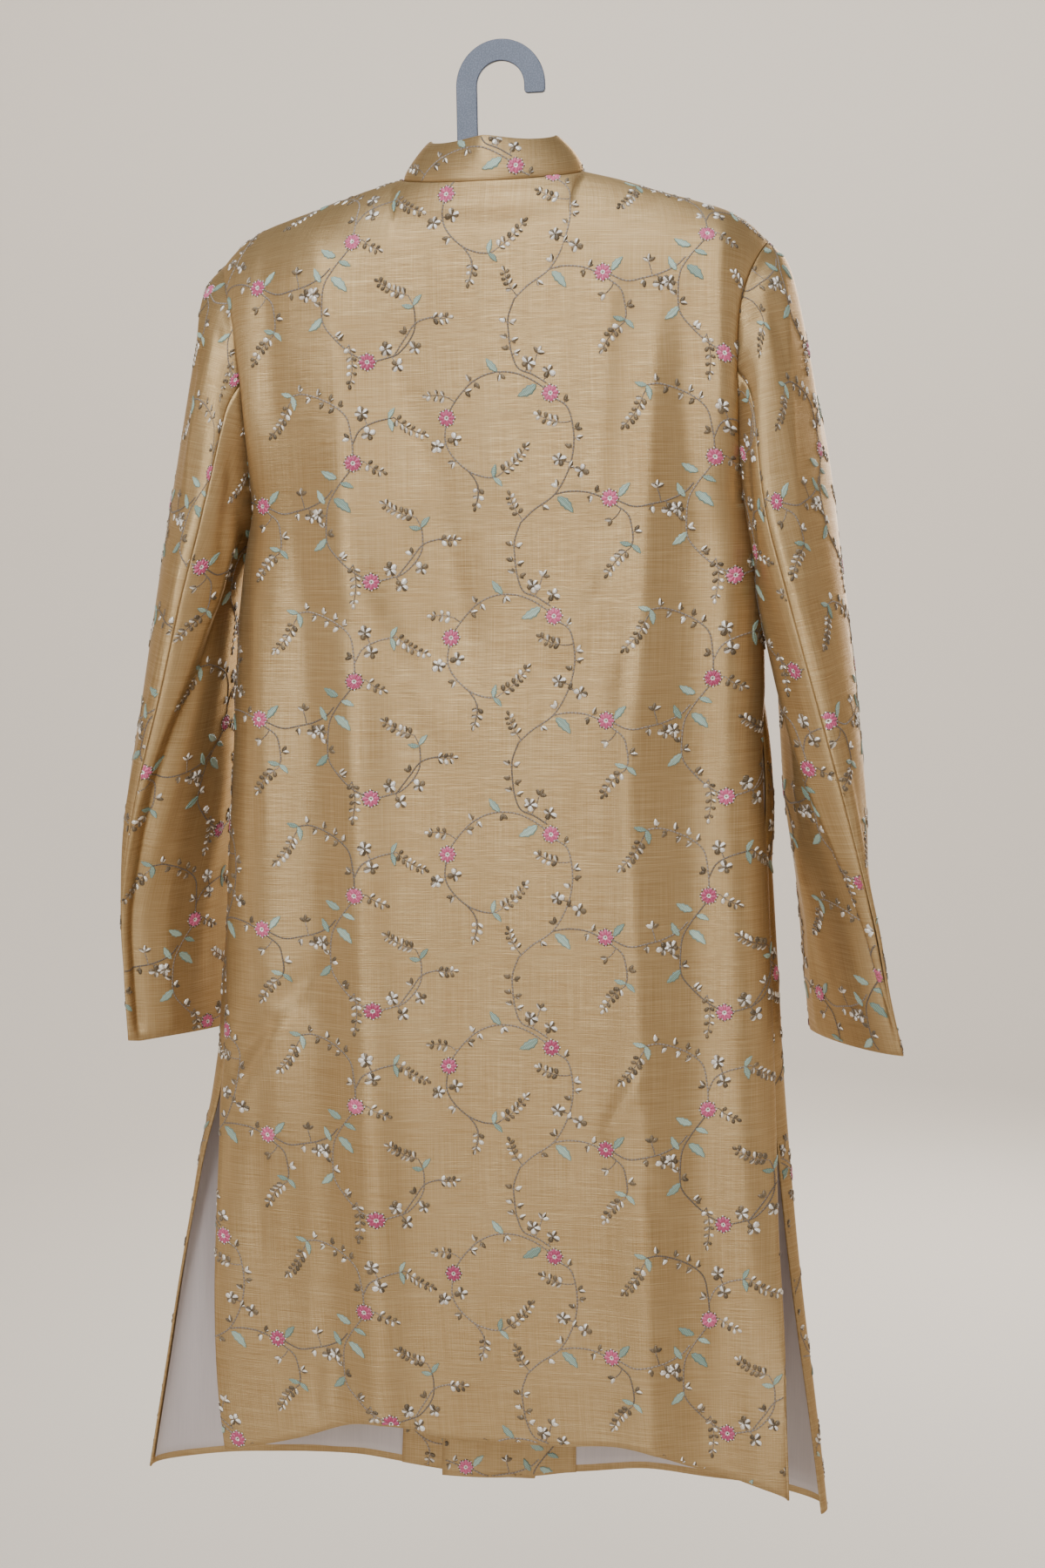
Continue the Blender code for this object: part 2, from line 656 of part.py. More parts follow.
def make_front(side, silk, lining):
    name = "left" if side < 0 else "right"
    points = front_grid(side)
    outs = front_columns()
    normals = outward(points, flip=side < 0)
    set_body_directions(normals, points, ((side, 0),), lambda j: outs[j])
    set_armhole_directions(normals, side, 0, 1)
    part_at_side(points, 0, 1)
    part_at_shoulder(points, 1, lambda j: outs[j])
    wall("front_" + name, points, points - WALL * normals, silk)
    inside = points - (WALL + GAP) * normals
    top = ARM_STEPS + SIDE_STEPS
    split = len(outs) - 1 - FACING_COLUMNS
    strip = inside[top:, split:]
    wall("facing_" + name, strip, strip - FACING_WALL * normals[top:, split:], silk)
    cloth = inside[top:-1, 1 : split + 1].copy()
    cloth[:, -1] = shortened(cloth[:, -1], cloth[:, -2], GAP)
    wall("lining_" + name, cloth, cloth - LINING_WALL * normals[top:-1, 1 : split + 1], lining)
    return inside


def shortened(edge, inner, length):
    """An edge's points drawn back by a length towards the next row or column."""
    return edge + unit(inner - edge) * length


def make_sleeve(side, silk):
    name = "left" if side < 0 else "right"
    front_seam = ARM_STEPS + 1
    pieces = (("top", 0, front_seam), ("under", front_seam, 2 * ARM_STEPS))
    for piece, first, last in pieces:
        points = sleeve_grid(side, first, last)
        normals = outward(points, flip=side < 0)
        for j, column in enumerate(range(first, last + 1)):
            angle = math.pi * column / ARM_STEPS
            lower = math.sin(angle) < -TINY
            direction = underarm_direction(side, angle, -1) if lower else seam_direction(side, angle)
            normals[0, j] = direction
        for j, inward in ((0, 1), (last - first, -1)):
            angle = math.pi * (first if j == 0 else last) / ARM_STEPS
            for i, run in enumerate(sleeve_runs()):
                if i == 0:
                    continue
                centre = (sleeve_point(side, run, angle) + sleeve_point(side, run, angle + math.pi)) / 2
                normals[i, j] = unit(points[i, j] - centre)
            points[:, j] = shortened(points[:, j], points[:, j + inward], GAP / 2)
        wall("sleeve_%s_%s" % (name, piece), points, points - WALL * normals, silk)


def make_collar(silk):
    base = neckline()
    count = len(base)
    middle = np.array([smooth_value(MIDDLE, "back", SHOULDER[0].z), 0.0, 0.0])
    rows = []
    normals = []
    for k in range(COLLAR_STEPS + 1):
        t = k / COLLAR_STEPS
        row = []
        row_normals = []
        for j, point in enumerate(base):
            radial = point - middle
            radial[2] = 0.0
            radial = unit(radial)
            lean = COLLAR_LEAN_END + (COLLAR_LEAN_SIDE - COLLAR_LEAN_END) * abs(radial[0])
            rise = math.sqrt(COLLAR_HEIGHT**2 - lean**2)
            lifted = point - radial * lean * t**COLLAR_LEAN_CURVE + np.array([0.0, 0.0, GAP + rise * t])
            row.append(lifted)
            row_normals.append(radial)
        rows.append(row)
        normals.append(row_normals)
    points, normals = np.array(rows), np.array(normals)
    for j, other, side in ((0, 1, -1), (count - 1, count - 2, 1)):
        points[:, j, 0] += side * COLLAR_END_REACH
        points[-1, j] = points[-2, j] + (points[-1, other] - points[-2, j]) * (1 - COLLAR_END_ROUND)
    wall("collar", points, points - COLLAR_WALL * normals, silk)


def make_pocket(side, lips, lining):
    """The strip of lining that closes the pocket's mouth from inside, one row per level of the side seam.

    lips are the columns of points just inside the back's and the front's walls, next to their edges.
    """
    name = "left" if side < 0 else "right"
    rows = []
    normals = []
    for i, z in enumerate(side_levels(), start=ARM_STEPS + 1):
        if not POCKET_BOTTOM_Z - POCKET_BEYOND < z < POCKET_TOP_Z + POCKET_BEYOND:
            continue
        back, front = lips
        inward = np.array([-side, 0.0, 0.0])
        start = back[i] + inward * GAP
        end = front[i] + inward * GAP
        deep = (start + end) / 2 + inward * POCKET_DEPTH
        path = (start, (start + deep) / 2, deep, (end + deep) / 2, end)
        rows.append(path)
        away = ((side, -1), (-side, -2), (-side, 0), (-side, 2), (side, 1))
        normals.append([unit([x, y, 0.0]) for x, y in away])
    points, directions = np.array(rows), np.array(normals)
    wall("pocket_" + name, points, points - LINING_WALL * directions, lining)


def centre_depth(z):
    """Depth of the left front on the centre line."""
    if z > UNDERARM_Z:
        top_z = neck_point(0.0)[0]
        return front_arm_point(-1, 0.0, (top_z - z) / (top_z - UNDERARM_Z))[1]
    return front_skirt_point(-1, 0.0, z)[1]


def make_button(index, z, material):
    """A domed button, turned about its own axis and set on the left front's centre line."""
    profile = (
        (0.0, BUTTON_HEIGHT),
        (BUTTON_RADIUS * 0.50, BUTTON_HEIGHT * 0.90),
        (BUTTON_RADIUS * 0.86, BUTTON_HEIGHT * 0.58),
        (BUTTON_RADIUS, BUTTON_HEIGHT * 0.22),
        (BUTTON_RADIUS * 0.92, 0.0),
        (0.0, 0.0),
    )
    name = "button_%d" % index
    mesh = bpy.data.meshes.new(name)
    mesh.from_pydata([(r, 0.0, h) for r, h in profile], [(i, i + 1) for i in range(len(profile) - 1)], [])
    mesh.materials.append(material)
    made = bpy.data.objects.new(name, mesh)
    COAT.objects.link(made)
    turned = made.modifiers.new("turned", "SCREW")
    turned.steps = 12
    turned.render_steps = 12
    turned.use_merge_vertices = True
    turned.merge_threshold = 0.00001
    slope = (centre_depth(z - BUTTON_RADIUS) - centre_depth(z + BUTTON_RADIUS)) / (2 * BUTTON_RADIUS)
    direction = Vector((0.0, 1.0, slope)).normalized()
    place = Vector((smooth_value(MIDDLE, "front", z), centre_depth(z), z))
    made.rotation_euler = direction.to_track_quat("Z", "Y").to_euler()
    made.location = place + direction * 2 * GAP


# ---------------------------------------------------------------- hanger
HOOK_INNER = 0.0193
HOOK_WIDTH = 0.0170
HOOK_THICK = 0.0045
HOOK_TIP_DROP = 0.0070
HOOK_TIP_BEVEL = 0.0025
HOOK_STEPS = 16
BAR_HALF = 0.192
BAR_EASE = 0.0010  # the cloth is flatter than the bar just off its crest
BAR_NECK_DROP = 0.014
BAR_NECK_OUT = 0.096
BAR_END_DROP = 0.004
BAR_NECK_EASE = 0.035  # the width over which the bar rises from the neck to the shoulder
BAR_END_START = 0.150
BAR_END_EASE = 0.040
BAR_STATIONS = 22
BAR_SIDES = 10

BarRow = namedtuple("BarRow", "out half_depth half_height")
BAR = (
    BarRow(0.000, 0.0090, 0.0140),
    BarRow(0.060, 0.0090, 0.0140),
    BarRow(0.120, 0.0120, 0.0130),
    BarRow(0.165, 0.0160, 0.0120),
    BarRow(0.192, 0.0150, 0.0100),
)


def make_hook(material):
    """A flat plate cut to one outline: shank, half circle and short tip."""
    centre_z = -HOOK_INNER
    outer = HOOK_INNER + HOOK_WIDTH
    foot_z = bar_top(0.0) + 2 * GAP
    tip_z = centre_z - HOOK_TIP_DROP
    outline = [(-outer, foot_z)]
    for i in range(HOOK_STEPS + 1):
        angle = math.pi - math.pi * i / HOOK_STEPS
        outline.append((outer * math.cos(angle), centre_z + outer * math.sin(angle)))
    outline.append((outer, tip_z + HOOK_TIP_BEVEL))
    outline.append((outer - HOOK_TIP_BEVEL, tip_z))
    outline.append((HOOK_INNER + HOOK_TIP_BEVEL, tip_z))
    outline.append((HOOK_INNER, tip_z + HOOK_TIP_BEVEL))
    for i in range(HOOK_STEPS + 1):
        angle = math.pi * i / HOOK_STEPS
        outline.append((HOOK_INNER * math.cos(angle), centre_z + HOOK_INNER * math.sin(angle)))
    outline.append((-HOOK_INNER, foot_z))
    curve = bpy.data.curves.new("hanger_hook", "CURVE")
    curve.dimensions = "2D"
    curve.fill_mode = "BOTH"
    curve.extrude = HOOK_THICK / 2
    spline = curve.splines.new("POLY")
    spline.points.add(len(outline) - 1)
    for point, (x, z) in zip(spline.points, outline):
        point.co = (x, z, 0.0, 1.0)
    spline.use_cyclic_u = True
    curve.materials.append(material)
    made = bpy.data.objects.new("hanger_hook", curve)
    made.rotation_euler = (math.pi / 2, 0.0, 0.0)
    COAT.objects.link(made)


def bar_top(out):
    """Height of the bar's crest, just under the cloth of the shoulder seam."""
    crest = smooth_value(SHOULDER, "z", max(out, NECK_HALF)) - WALL - GAP - BAR_EASE
    neck = BAR_NECK_DROP * ease((BAR_NECK_OUT - out) / BAR_NECK_EASE)
    return crest - neck - BAR_END_DROP * ease((out - BAR_END_START) / BAR_END_EASE)


def make_bar(material):
    """The shoulder bar: a loft of upright ovals that follow the shoulder seams."""
    middle = smooth_value(MIDDLE, "back", SHOULDER[-1].z)
    verts = []
    for i in range(BAR_STATIONS + 1):
        x = -BAR_HALF + 2 * BAR_HALF * i / BAR_STATIONS
        out = abs(x)
        half_depth = smooth_value(BAR, "half_depth", out)
        half_height = smooth_value(BAR, "half_height", out)
        y = smooth_value(SHOULDER, "y", max(out, NECK_HALF))
        for k in range(BAR_SIDES):
            angle = 2 * math.pi * k / BAR_SIDES
            z = bar_top(out) - half_height * (1 - math.cos(angle))
            verts.append((middle + x, y + half_depth * math.sin(angle), z))
    faces = [tuple(range(BAR_SIDES)), tuple(range(len(verts) - BAR_SIDES, len(verts)))]
    for i in range(BAR_STATIONS):
        for k in range(BAR_SIDES):
            here, there = i * BAR_SIDES + k, i * BAR_SIDES + (k + 1) % BAR_SIDES
            faces.append((here, there, there + BAR_SIDES, here + BAR_SIDES))
    add_mesh("hanger_bar", verts, faces, material)


# ---------------------------------------------------------------- assembly
clear_scene()
COAT = collection("sherwani_coat")

silk = finish("silk", (0.52, 0.39, 0.22), 0.45)
satin = finish("lining_satin", (0.38, 0.31, 0.31), 0.40)
grey = finish("hook_grey", (0.20, 0.23, 0.28), 0.45)
wood = finish("hanger_body", (0.05, 0.05, 0.055), 0.5)
metal = finish("button_metal", (0.55, 0.42, 0.22), 0.35, 1.0)

back_inside = make_back(silk)
left_inside = make_front(-1, silk, satin)
right_inside = make_front(1, silk, satin)
make_sleeve(-1, silk)
make_sleeve(1, silk)
make_collar(silk)
make_pocket(-1, (back_inside[:, 1], left_inside[:, 1]), satin)
make_pocket(1, (back_inside[:, -2], right_inside[:, 1]), satin)
for number in range(BUTTON_COUNT):
    make_button(number + 1, BUTTON_TOP_Z - BUTTON_SPACING * number, metal)
make_hook(grey)
make_bar(wood)
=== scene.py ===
"""The looks of the sherwani coat on its hanger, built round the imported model, in metres, +Z up.

The back faces -Y and the fronts face +Y. "Left" is the wearer's left, at -X, and side -1.
Each silk piece is a fine sheet worked out from the same tables as its solid, with its creases added.
A sheet also knows its cloth coordinates: how far across and how far down each point lies in the flat cloth.
The weave and the embroidery are laid out in those coordinates and follow the cloth.
"""

from collections import namedtuple
from functools import partial
import math

import bmesh
import bpy
import numpy as np
from mathutils import Matrix, Vector


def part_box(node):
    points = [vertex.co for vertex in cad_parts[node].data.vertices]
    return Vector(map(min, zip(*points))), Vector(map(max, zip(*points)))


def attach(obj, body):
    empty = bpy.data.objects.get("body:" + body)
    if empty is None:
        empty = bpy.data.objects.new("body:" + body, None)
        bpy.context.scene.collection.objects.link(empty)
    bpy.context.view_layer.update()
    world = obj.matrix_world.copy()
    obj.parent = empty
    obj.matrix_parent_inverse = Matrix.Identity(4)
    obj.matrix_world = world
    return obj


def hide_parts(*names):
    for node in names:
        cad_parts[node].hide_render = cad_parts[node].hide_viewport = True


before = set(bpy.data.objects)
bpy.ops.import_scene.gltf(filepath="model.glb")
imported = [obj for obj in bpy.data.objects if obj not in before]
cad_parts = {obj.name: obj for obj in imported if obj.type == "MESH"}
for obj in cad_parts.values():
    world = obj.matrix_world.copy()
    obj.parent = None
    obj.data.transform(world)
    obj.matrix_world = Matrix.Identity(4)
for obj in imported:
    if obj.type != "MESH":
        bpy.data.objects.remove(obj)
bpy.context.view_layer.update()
NAMES = {-1: "left", 1: "right"}

# ---------------------------------------------------------------- driving sizes, as in the solids
WALL = 0.0020
LINING_WALL = 0.0010
FACING_WALL = 0.0012
COLLAR_WALL = 0.0026
GAP = 0.0003
NECK_HALF = 0.074
NECK_Z = -0.090
BACK_NECK = (0.011, -0.050)  # the drop of the neckline's middle, and how far out it lies
FRONT_NECK = (0.075, 0.062)
SHOULDER_HALF = 0.2245
SHOULDER_ROUND = 0.062
UNDERARM_Z = -0.357
SLIT_TOP_Z = -0.810
HEM_Z = -1.200
HEM_BAND = 0.011
OVERLAP = NECK_HALF / 2
OVERLAP_GROWTH = 0.12
LAP_EASE = 0.030
COLLAR_HEIGHT = 0.036
COLLAR_LEAN_SIDE = 0.021
COLLAR_LEAN_END = 0.006
COLLAR_LEAN_CURVE = 1.3
COLLAR_END_REACH = 0.0015
SECTION_POWER = 2.9
SLEEVE_EDGE = 0.28
SLEEVE_FIT = 0.35
POCKET_TOP_Z = -0.505
POCKET_BOTTOM_Z = -0.650
POCKET_DEPTH = 0.024
POCKET_BEYOND = 0.030
MOUTH_FRONT = (0.0055, 0.0060)
MOUTH_BACK = (-0.0015, -0.0030)
BUTTON_RADIUS = 0.009
BUTTON_HEIGHT = 0.0055
BUTTON_COUNT = 7
BUTTON_TOP_Z = -0.200
BUTTON_SPACING = 0.090

# ---------------------------------------------------------------- sizes of the looks alone
NECK_ROUND = 0.022  # the least rounding of the shoulder's turn above the neckline
UNDERARM_SHARE = 0.24  # how much of a panel's half width turns with its armhole
SEAM_FADE = 0.04  # how much of it leads from the seam's own line to the smoothed cloth
UNDERARM_ABOVE, UNDERARM_BELOW = 12, 4  # the rows over which the cloth past the underarm is smoothed
PANEL_SINK, SLEEVE_SINK = (0.0006, 0.0022), (0.0005, 0.0020)  # how deep a seam sinks, and its reach
PANEL_RIPPLE, SLEEVE_RIPPLE = (0.16, 0.0012), (0.12, 0.0010)  # the length and depth of their unevenness
HEM_TURNING, CUFF_TURNING, SLIT_TURNING = 0.012, 0.022, 0.006  # bands of the outer silk on the inner side
LINING_START = 0.0045  # how far the lining's edge lies from the side seam
COLLAR_END_DROP, COLLAR_END_ROUND = 0.30, 0.014  # the share of height that its ends lose, and over what
COLLAR_BELLY = 0.0010
COLLAR_WAVE, COLLAR_WAVES = 0.0005, 90  # how deep the collar waves, and how fast along its length
COLLAR_SEAM_SINK, COLLAR_TOP_SINK = (0.0005, 0.0020), (0.0004, 0.0018)
SLEEVE_DOWN = 0.60  # the cuff's cloth coordinate
BAG_BELLY = 0.010
LIP_BEYOND = 0.006  # how far the welts run past the pocket's mouth
WELT_RADIUS, PIPING_RADIUS = 0.0011, 0.0008
WELT_PLACE = (0.0012, -0.0010)  # outward from a lip, and away from the mouth's middle
PIPING_PLACE = (-0.0022, -0.0006)  # the same from its welt
BUTTONHOLE_RADIUS = 0.0006


def curve(places, values):
    """A column of a table as a smooth function of the places in its first column."""
    if places[0] > places[-1]:
        places, values = places[::-1], values[::-1]
    slopes = np.gradient(values, places)

    def at(place):
        place = np.clip(place, places[0], places[-1])
        i = np.clip(np.searchsorted(places, place, side="right") - 1, 0, len(places) - 2)
        step = places[i + 1] - places[i]
        t = (place - places[i]) / step
        start = values[i] * (1 + 2 * t) * (1 - t) ** 2 + slopes[i] * step * t * (1 - t) ** 2
        end = values[i + 1] * (3 - 2 * t) * t**2 - slopes[i + 1] * step * (1 - t) * t**2
        return start + end

    return at


def curves(names, *rows):
    """The columns of a table after its first, under their names, as functions of the first."""
    places, *columns = np.array(rows, float).T
    return namedtuple("Curves", names)(*[curve(places, values) for values in columns])


def rings(*rows):
    """A sleeve's table, whose rows are evenly spaced from the armhole to the cuff."""
    names = "x y z flat thick turn lift"
    return curves(names, *[(i / (len(rows) - 1), *row) for i, row in enumerate(rows)])


# by height: where a panel's middle line runs
MIDDLE = curves(
    "back front",
    (-0.09, -0.007, -0.007), (-0.15, -0.011, -0.01), (-0.357, -0.01, -0.013), (-0.65, -0.018, -0.024),
    (-0.9, -0.02, -0.033), (-1.21, -0.017, -0.045),
)
# by the distance from the middle
SHOULDER = curves(
    "z y",
    (NECK_HALF, NECK_Z, 0), (0.104, -0.0975, 0.002), (0.139, -0.1085, 0.004), (0.167, -0.1165, 0.007),
    (0.195, -0.1265, 0.01), (0.211, -0.137, 0.011), (0.2245, -0.15, 0.012),
)
# by the share of the way down the armhole: its half width, and how far out its edge lies
ARMHOLE = curves(
    "half back front",
    (0, 0.2245, 0.036, 0.048), (0.1, 0.215, 0.037, 0.049), (0.22, 0.207, 0.039, 0.05),
    (0.4, 0.2025, 0.04, 0.05), (0.62, 0.2005, 0.037, 0.046), (0.82, 0.2, 0.026, 0.033),
    (0.93, 0.2005, 0.013, 0.017), (1, 0.2015, 0, 0),
)
# what the armhole's depth does to the cloth away from its seam, where the underarm's turn is softer
INNER_ARMHOLE = curves(
    "back front",
    (0, 0.036, 0.048), (0.22, 0.038, 0.049), (0.4, 0.036, 0.046), (0.62, 0.025, 0.032), (0.82, 0.01, 0.013),
    (0.93, 0.003, 0.004), (1, 0, 0),
)
# by height: where the side seams run, and then the two edges of each slit, which start together
SLIT_TOP = (SLIT_TOP_Z, -0.2515, -0.012, 0.2135, -0.012)
SIDE_SEAM = curves(
    "left_x left_y right_x right_y",
    (-0.357, -0.2115, 0, 0.1915, 0), (-0.4, -0.218, -0.003, 0.1975, -0.003),
    (-0.45, -0.2255, -0.005, 0.2025, -0.005), (-0.505, -0.2305, -0.007, 0.2035, -0.007),
    (-0.575, -0.2355, -0.008, 0.2045, -0.008), (-0.645, -0.2415, -0.009, 0.208, -0.009),
    (-0.72, -0.246, -0.01, 0.2105, -0.01), SLIT_TOP,
)
BACK_SLIT = curves(
    "left_x left_y right_x right_y",
    SLIT_TOP, (-0.86, -0.254, -0.02, 0.215, -0.021), (-0.94, -0.257, -0.031, 0.218, -0.034),
    (-1.02, -0.259, -0.04, 0.2235, -0.048), (-1.095, -0.257, -0.046, 0.2265, -0.06),
    (-1.165, -0.25, -0.05, 0.2285, -0.07),
)
FRONT_SLIT = curves(
    "left_x left_y right_x right_y",
    SLIT_TOP, (-0.86, -0.266, -0.002, 0.2165, -0.004), (-0.9, -0.28, 0.006, 0.2195, 0.002),
    (-0.963, -0.2975, 0.016, 0.225, 0.008), (-1.04, -0.317, 0.023, 0.2335, 0.011),
    (-1.128, -0.3355, 0.028, 0.2445, 0.013), (-1.21, -0.351, 0.03, 0.254, 0.012),
)
# by height: how far out the panels' middles lie, and how far the fronts swell at their sides
DEPTH = curves(
    "back front reach_left reach_right",
    (-0.09, 0.052, 0.06, 0, 0), (-0.26, 0.057, 0.065, 0, 0), (-0.357, 0.059, 0.068, 0.001, 0.001),
    (-0.505, 0.058, 0.069, 0.006, 0.004), (-0.645, 0.056, 0.069, 0.012, 0.008),
    (-0.81, 0.055, 0.069, 0.02, 0.012), (-0.9, 0.055, 0.069, 0.012, 0.012),
    (-1.04, 0.055, 0.068, 0.003, 0.01), (-1.21, 0.056, 0.066, 0, 0.007),
)
# the height of the hem, by the place across the back from -1 to 1
BACK_HEM = curves(
    "z",
    (-1, -1.152), (-0.72, -1.135), (-0.42, -1.115), (-0.18, -1.127), (0.2, -1.13), (0.54, -1.13),
    (0.68, -1.143), (0.84, -1.152), (1, -1.16),
)
# and by the place across a front from its centre line (0) to its side (1)
FRONT_HEM = curves(
    "z",
    (-0.2, -1.213), (0, -1.213), (0.3, -1.205), (0.6, -1.198), (1, -1.207),
)
# folds: x at the top and at the hem, width, depth, and the heights where they start and are whole
BACK_FOLDS = (
    # top_x, hem_x, width, depth, top_z, full_z
    (-0.126, -0.112, 0.026, 0.0065, -0.2, -0.55), (-0.06, -0.046, 0.045, -0.005, -0.22, -0.6),
    (0.113, 0.116, 0.03, 0.0065, -0.2, -0.5), (0.165, 0.172, 0.032, -0.005, -0.24, -0.6),
)
FRONT_FOLDS = {
    -1: (
        (-0.13, -0.16, 0.034, 0.0055, -0.24, -0.6), (-0.185, -0.245, 0.036, -0.005, -0.4, -0.8),
    ),
    1: (
        (0.11, 0.092, 0.034, 0.0055, -0.24, -0.6), (0.16, 0.152, 0.034, -0.0045, -0.3, -0.7),
    ),
}
# the rings of a sleeve: middle, half width, half thickness, turn in degrees, and lift of the outer side
SLEEVES = {
    -1: rings(
        (0.223, 0.003, -0.2535, 0.042, 0.012, 0, 0.1035), (0.2325, 0.004, -0.272, 0.05, 0.0175, -6, 0.1),
        (0.2425, 0.006, -0.3085, 0.061, 0.0205, -10, 0.0835),
        (0.2545, 0.009, -0.359, 0.071, 0.025, -10, 0.059), (0.266, 0.011, -0.42, 0.078, 0.03, -6, 0.035),
        (0.2805, 0.014, -0.515, 0.078, 0.0345, 2, 0.013), (0.2925, 0.018, -0.605, 0.075, 0.033, 15, 0.004),
        (0.2985, 0.024, -0.69, 0.07, 0.019, 29, 0), (0.3, 0.028, -0.745, 0.067, 0.015, 32, 0),
        (0.2995, 0.032, -0.804, 0.064, 0.014, 36, 0),
    ),
    1: rings(
        (0.2025, 0.003, -0.2535, 0.042, 0.011, 0, 0.1035), (0.2115, 0.004, -0.271, 0.05, 0.0175, -6, 0.101),
        (0.2205, 0.006, -0.3085, 0.061, 0.02, -12, 0.0835), (0.23, 0.009, -0.359, 0.071, 0.023, -14, 0.059),
        (0.239, 0.011, -0.42, 0.078, 0.0275, -8, 0.035), (0.249, 0.014, -0.515, 0.078, 0.032, 3, 0.014),
        (0.2563, 0.018, -0.605, 0.075, 0.029, 15, 0.004), (0.264, 0.022, -0.69, 0.07, 0.017, 26, 0),
        (0.271, 0.026, -0.745, 0.067, 0.015, 31, 0), (0.28, 0.03, -0.802, 0.064, 0.014, 38, 0),
    ),
}

# ---------------------------------------------------------------- creases
# a soft ridge (depth above 0) or trough: x, z at its start and at its end, width, depth and sideways bow
BACK_CREASES = (
    (-0.14, -0.715, -0.252, -0.838, 0.011, -0.0042, 0.004),
    (-0.172, -0.752, -0.25, -0.882, 0.014, 0.0034, 0.004),
    (-0.128, -0.392, -0.02, -0.562, 0.014, 0.0026, 0.006),
    (0.106, -0.392, 0.034, -0.486, 0.011, 0.0026, -0.004),
    (0.117, -0.805, 0.078, -0.876, 0.008, 0.003, 0.002),
    (0.106, -0.85, 0.126, -0.94, 0.007, -0.0014, 0.003),
    (-0.118, -0.122, 0.072, -0.134, 0.006, -0.0022, 0.004),
    (0.07, -0.53, 0.104, -0.44, 0.012, -0.0012, 0.004), (0.03, -0.62, 0.08, -0.48, 0.018, 0.0012, 0.008),
    (-0.06, -0.34, -0.02, -0.47, 0.02, -0.0012, 0.01), (0, -0.3, 0.03, -0.44, 0.02, 0.001, -0.01),
    (-0.165, -0.3, -0.15, -0.6, 0.012, -0.0012, 0.006), (0.15, -0.18, 0.165, -0.42, 0.012, -0.0014, 0.006),
    (0.178, -0.36, 0.186, -0.6, 0.008, 0.0012, 0.003), (-0.205, -0.4, -0.196, -0.66, 0.008, 0.0012, -0.003),
    (-0.205, -0.74, -0.215, -1.02, 0.01, -0.001, 0.004),
    (-0.17, -0.86, -0.176, -1.1, 0.012, 0.0012, -0.004), (0.16, -0.92, 0.166, -1.12, 0.012, 0.0012, 0.004),
    (0.03, -0.86, 0.034, -1.1, 0.016, -0.0012, 0.005), (-0.03, -0.92, -0.034, -1.1, 0.013, 0.0011, -0.005),
    (-0.165, -1.06, -0.17, -1.12, 0.006, -0.0014, 0.001),
    (-0.145, -1.05, -0.15, -1.11, 0.006, -0.0014, -0.001),
    (-0.125, -1.07, -0.128, -1.11, 0.005, -0.001, 0.001), (-0.193, -0.3, -0.205, -0.92, 0.028, 0.006, 0),
    (0.178, -0.22, 0.19, -1.04, 0.026, 0.0085, 0), (-0.062, -0.46, -0.052, -1.42, 0.04, 0.007, 0),
    (-0.068, -0.108, 0.08, -0.104, 0.004, -0.0018, 0.002),
    (-0.075, -0.12, 0.07, -0.119, 0.005, 0.001, 0.003),
)
# x runs outward from the fronts' centre line, on both fronts
FRONT_CREASES = (
    (0.06, -0.2, 0.085, -0.42, 0.014, 0.0014, 0.006), (0.12, -0.16, 0.11, -0.4, 0.014, -0.0016, 0.006),
    (0.15, -0.24, 0.16, -0.48, 0.01, 0.0014, -0.004), (0.04, -0.5, 0.06, -0.86, 0.016, -0.0012, 0.008),
    (0.1, -0.66, 0.118, -1.1, 0.014, 0.0015, -0.006), (0.18, -0.7, 0.2, -1.1, 0.014, -0.0014, 0.006),
    (0.15, -0.9, 0.165, -1.19, 0.01, 0.0012, 0.004), (0.23, -0.95, 0.25, -1.18, 0.011, -0.0012, -0.004),
)
# x is the angle round the sleeve in degrees and z the run from armhole to cuff
SLEEVE_CREASES = (
    (20, 0.03, 60, 0.3, 9, -0.0018, 6), (45, 0.02, 40, 0.42, 8, 0.0016, -6),
    (120, 0.02, 100, 0.4, 10, -0.0016, 8), (8, 0.3, 20, 0.78, 7, 0.0015, 3),
    (75, 0.5, 95, 0.98, 12, 0.0014, 8), (50, 0.6, 58, 0.98, 9, -0.0014, -4),
    (140, 0.35, 150, 0.9, 10, -0.0014, 6), (250, 0.25, 285, 0.75, 12, -0.002, 8),
    (300, 0.3, 322, 0.85, 9, 0.0018, 5), (265, 0.6, 275, 0.97, 9, 0.0014, -5),
    (335, 0.12, 320, 0.4, 8, -0.0018, 4), (215, 0.3, 225, 0.8, 10, 0.0014, 5),
)
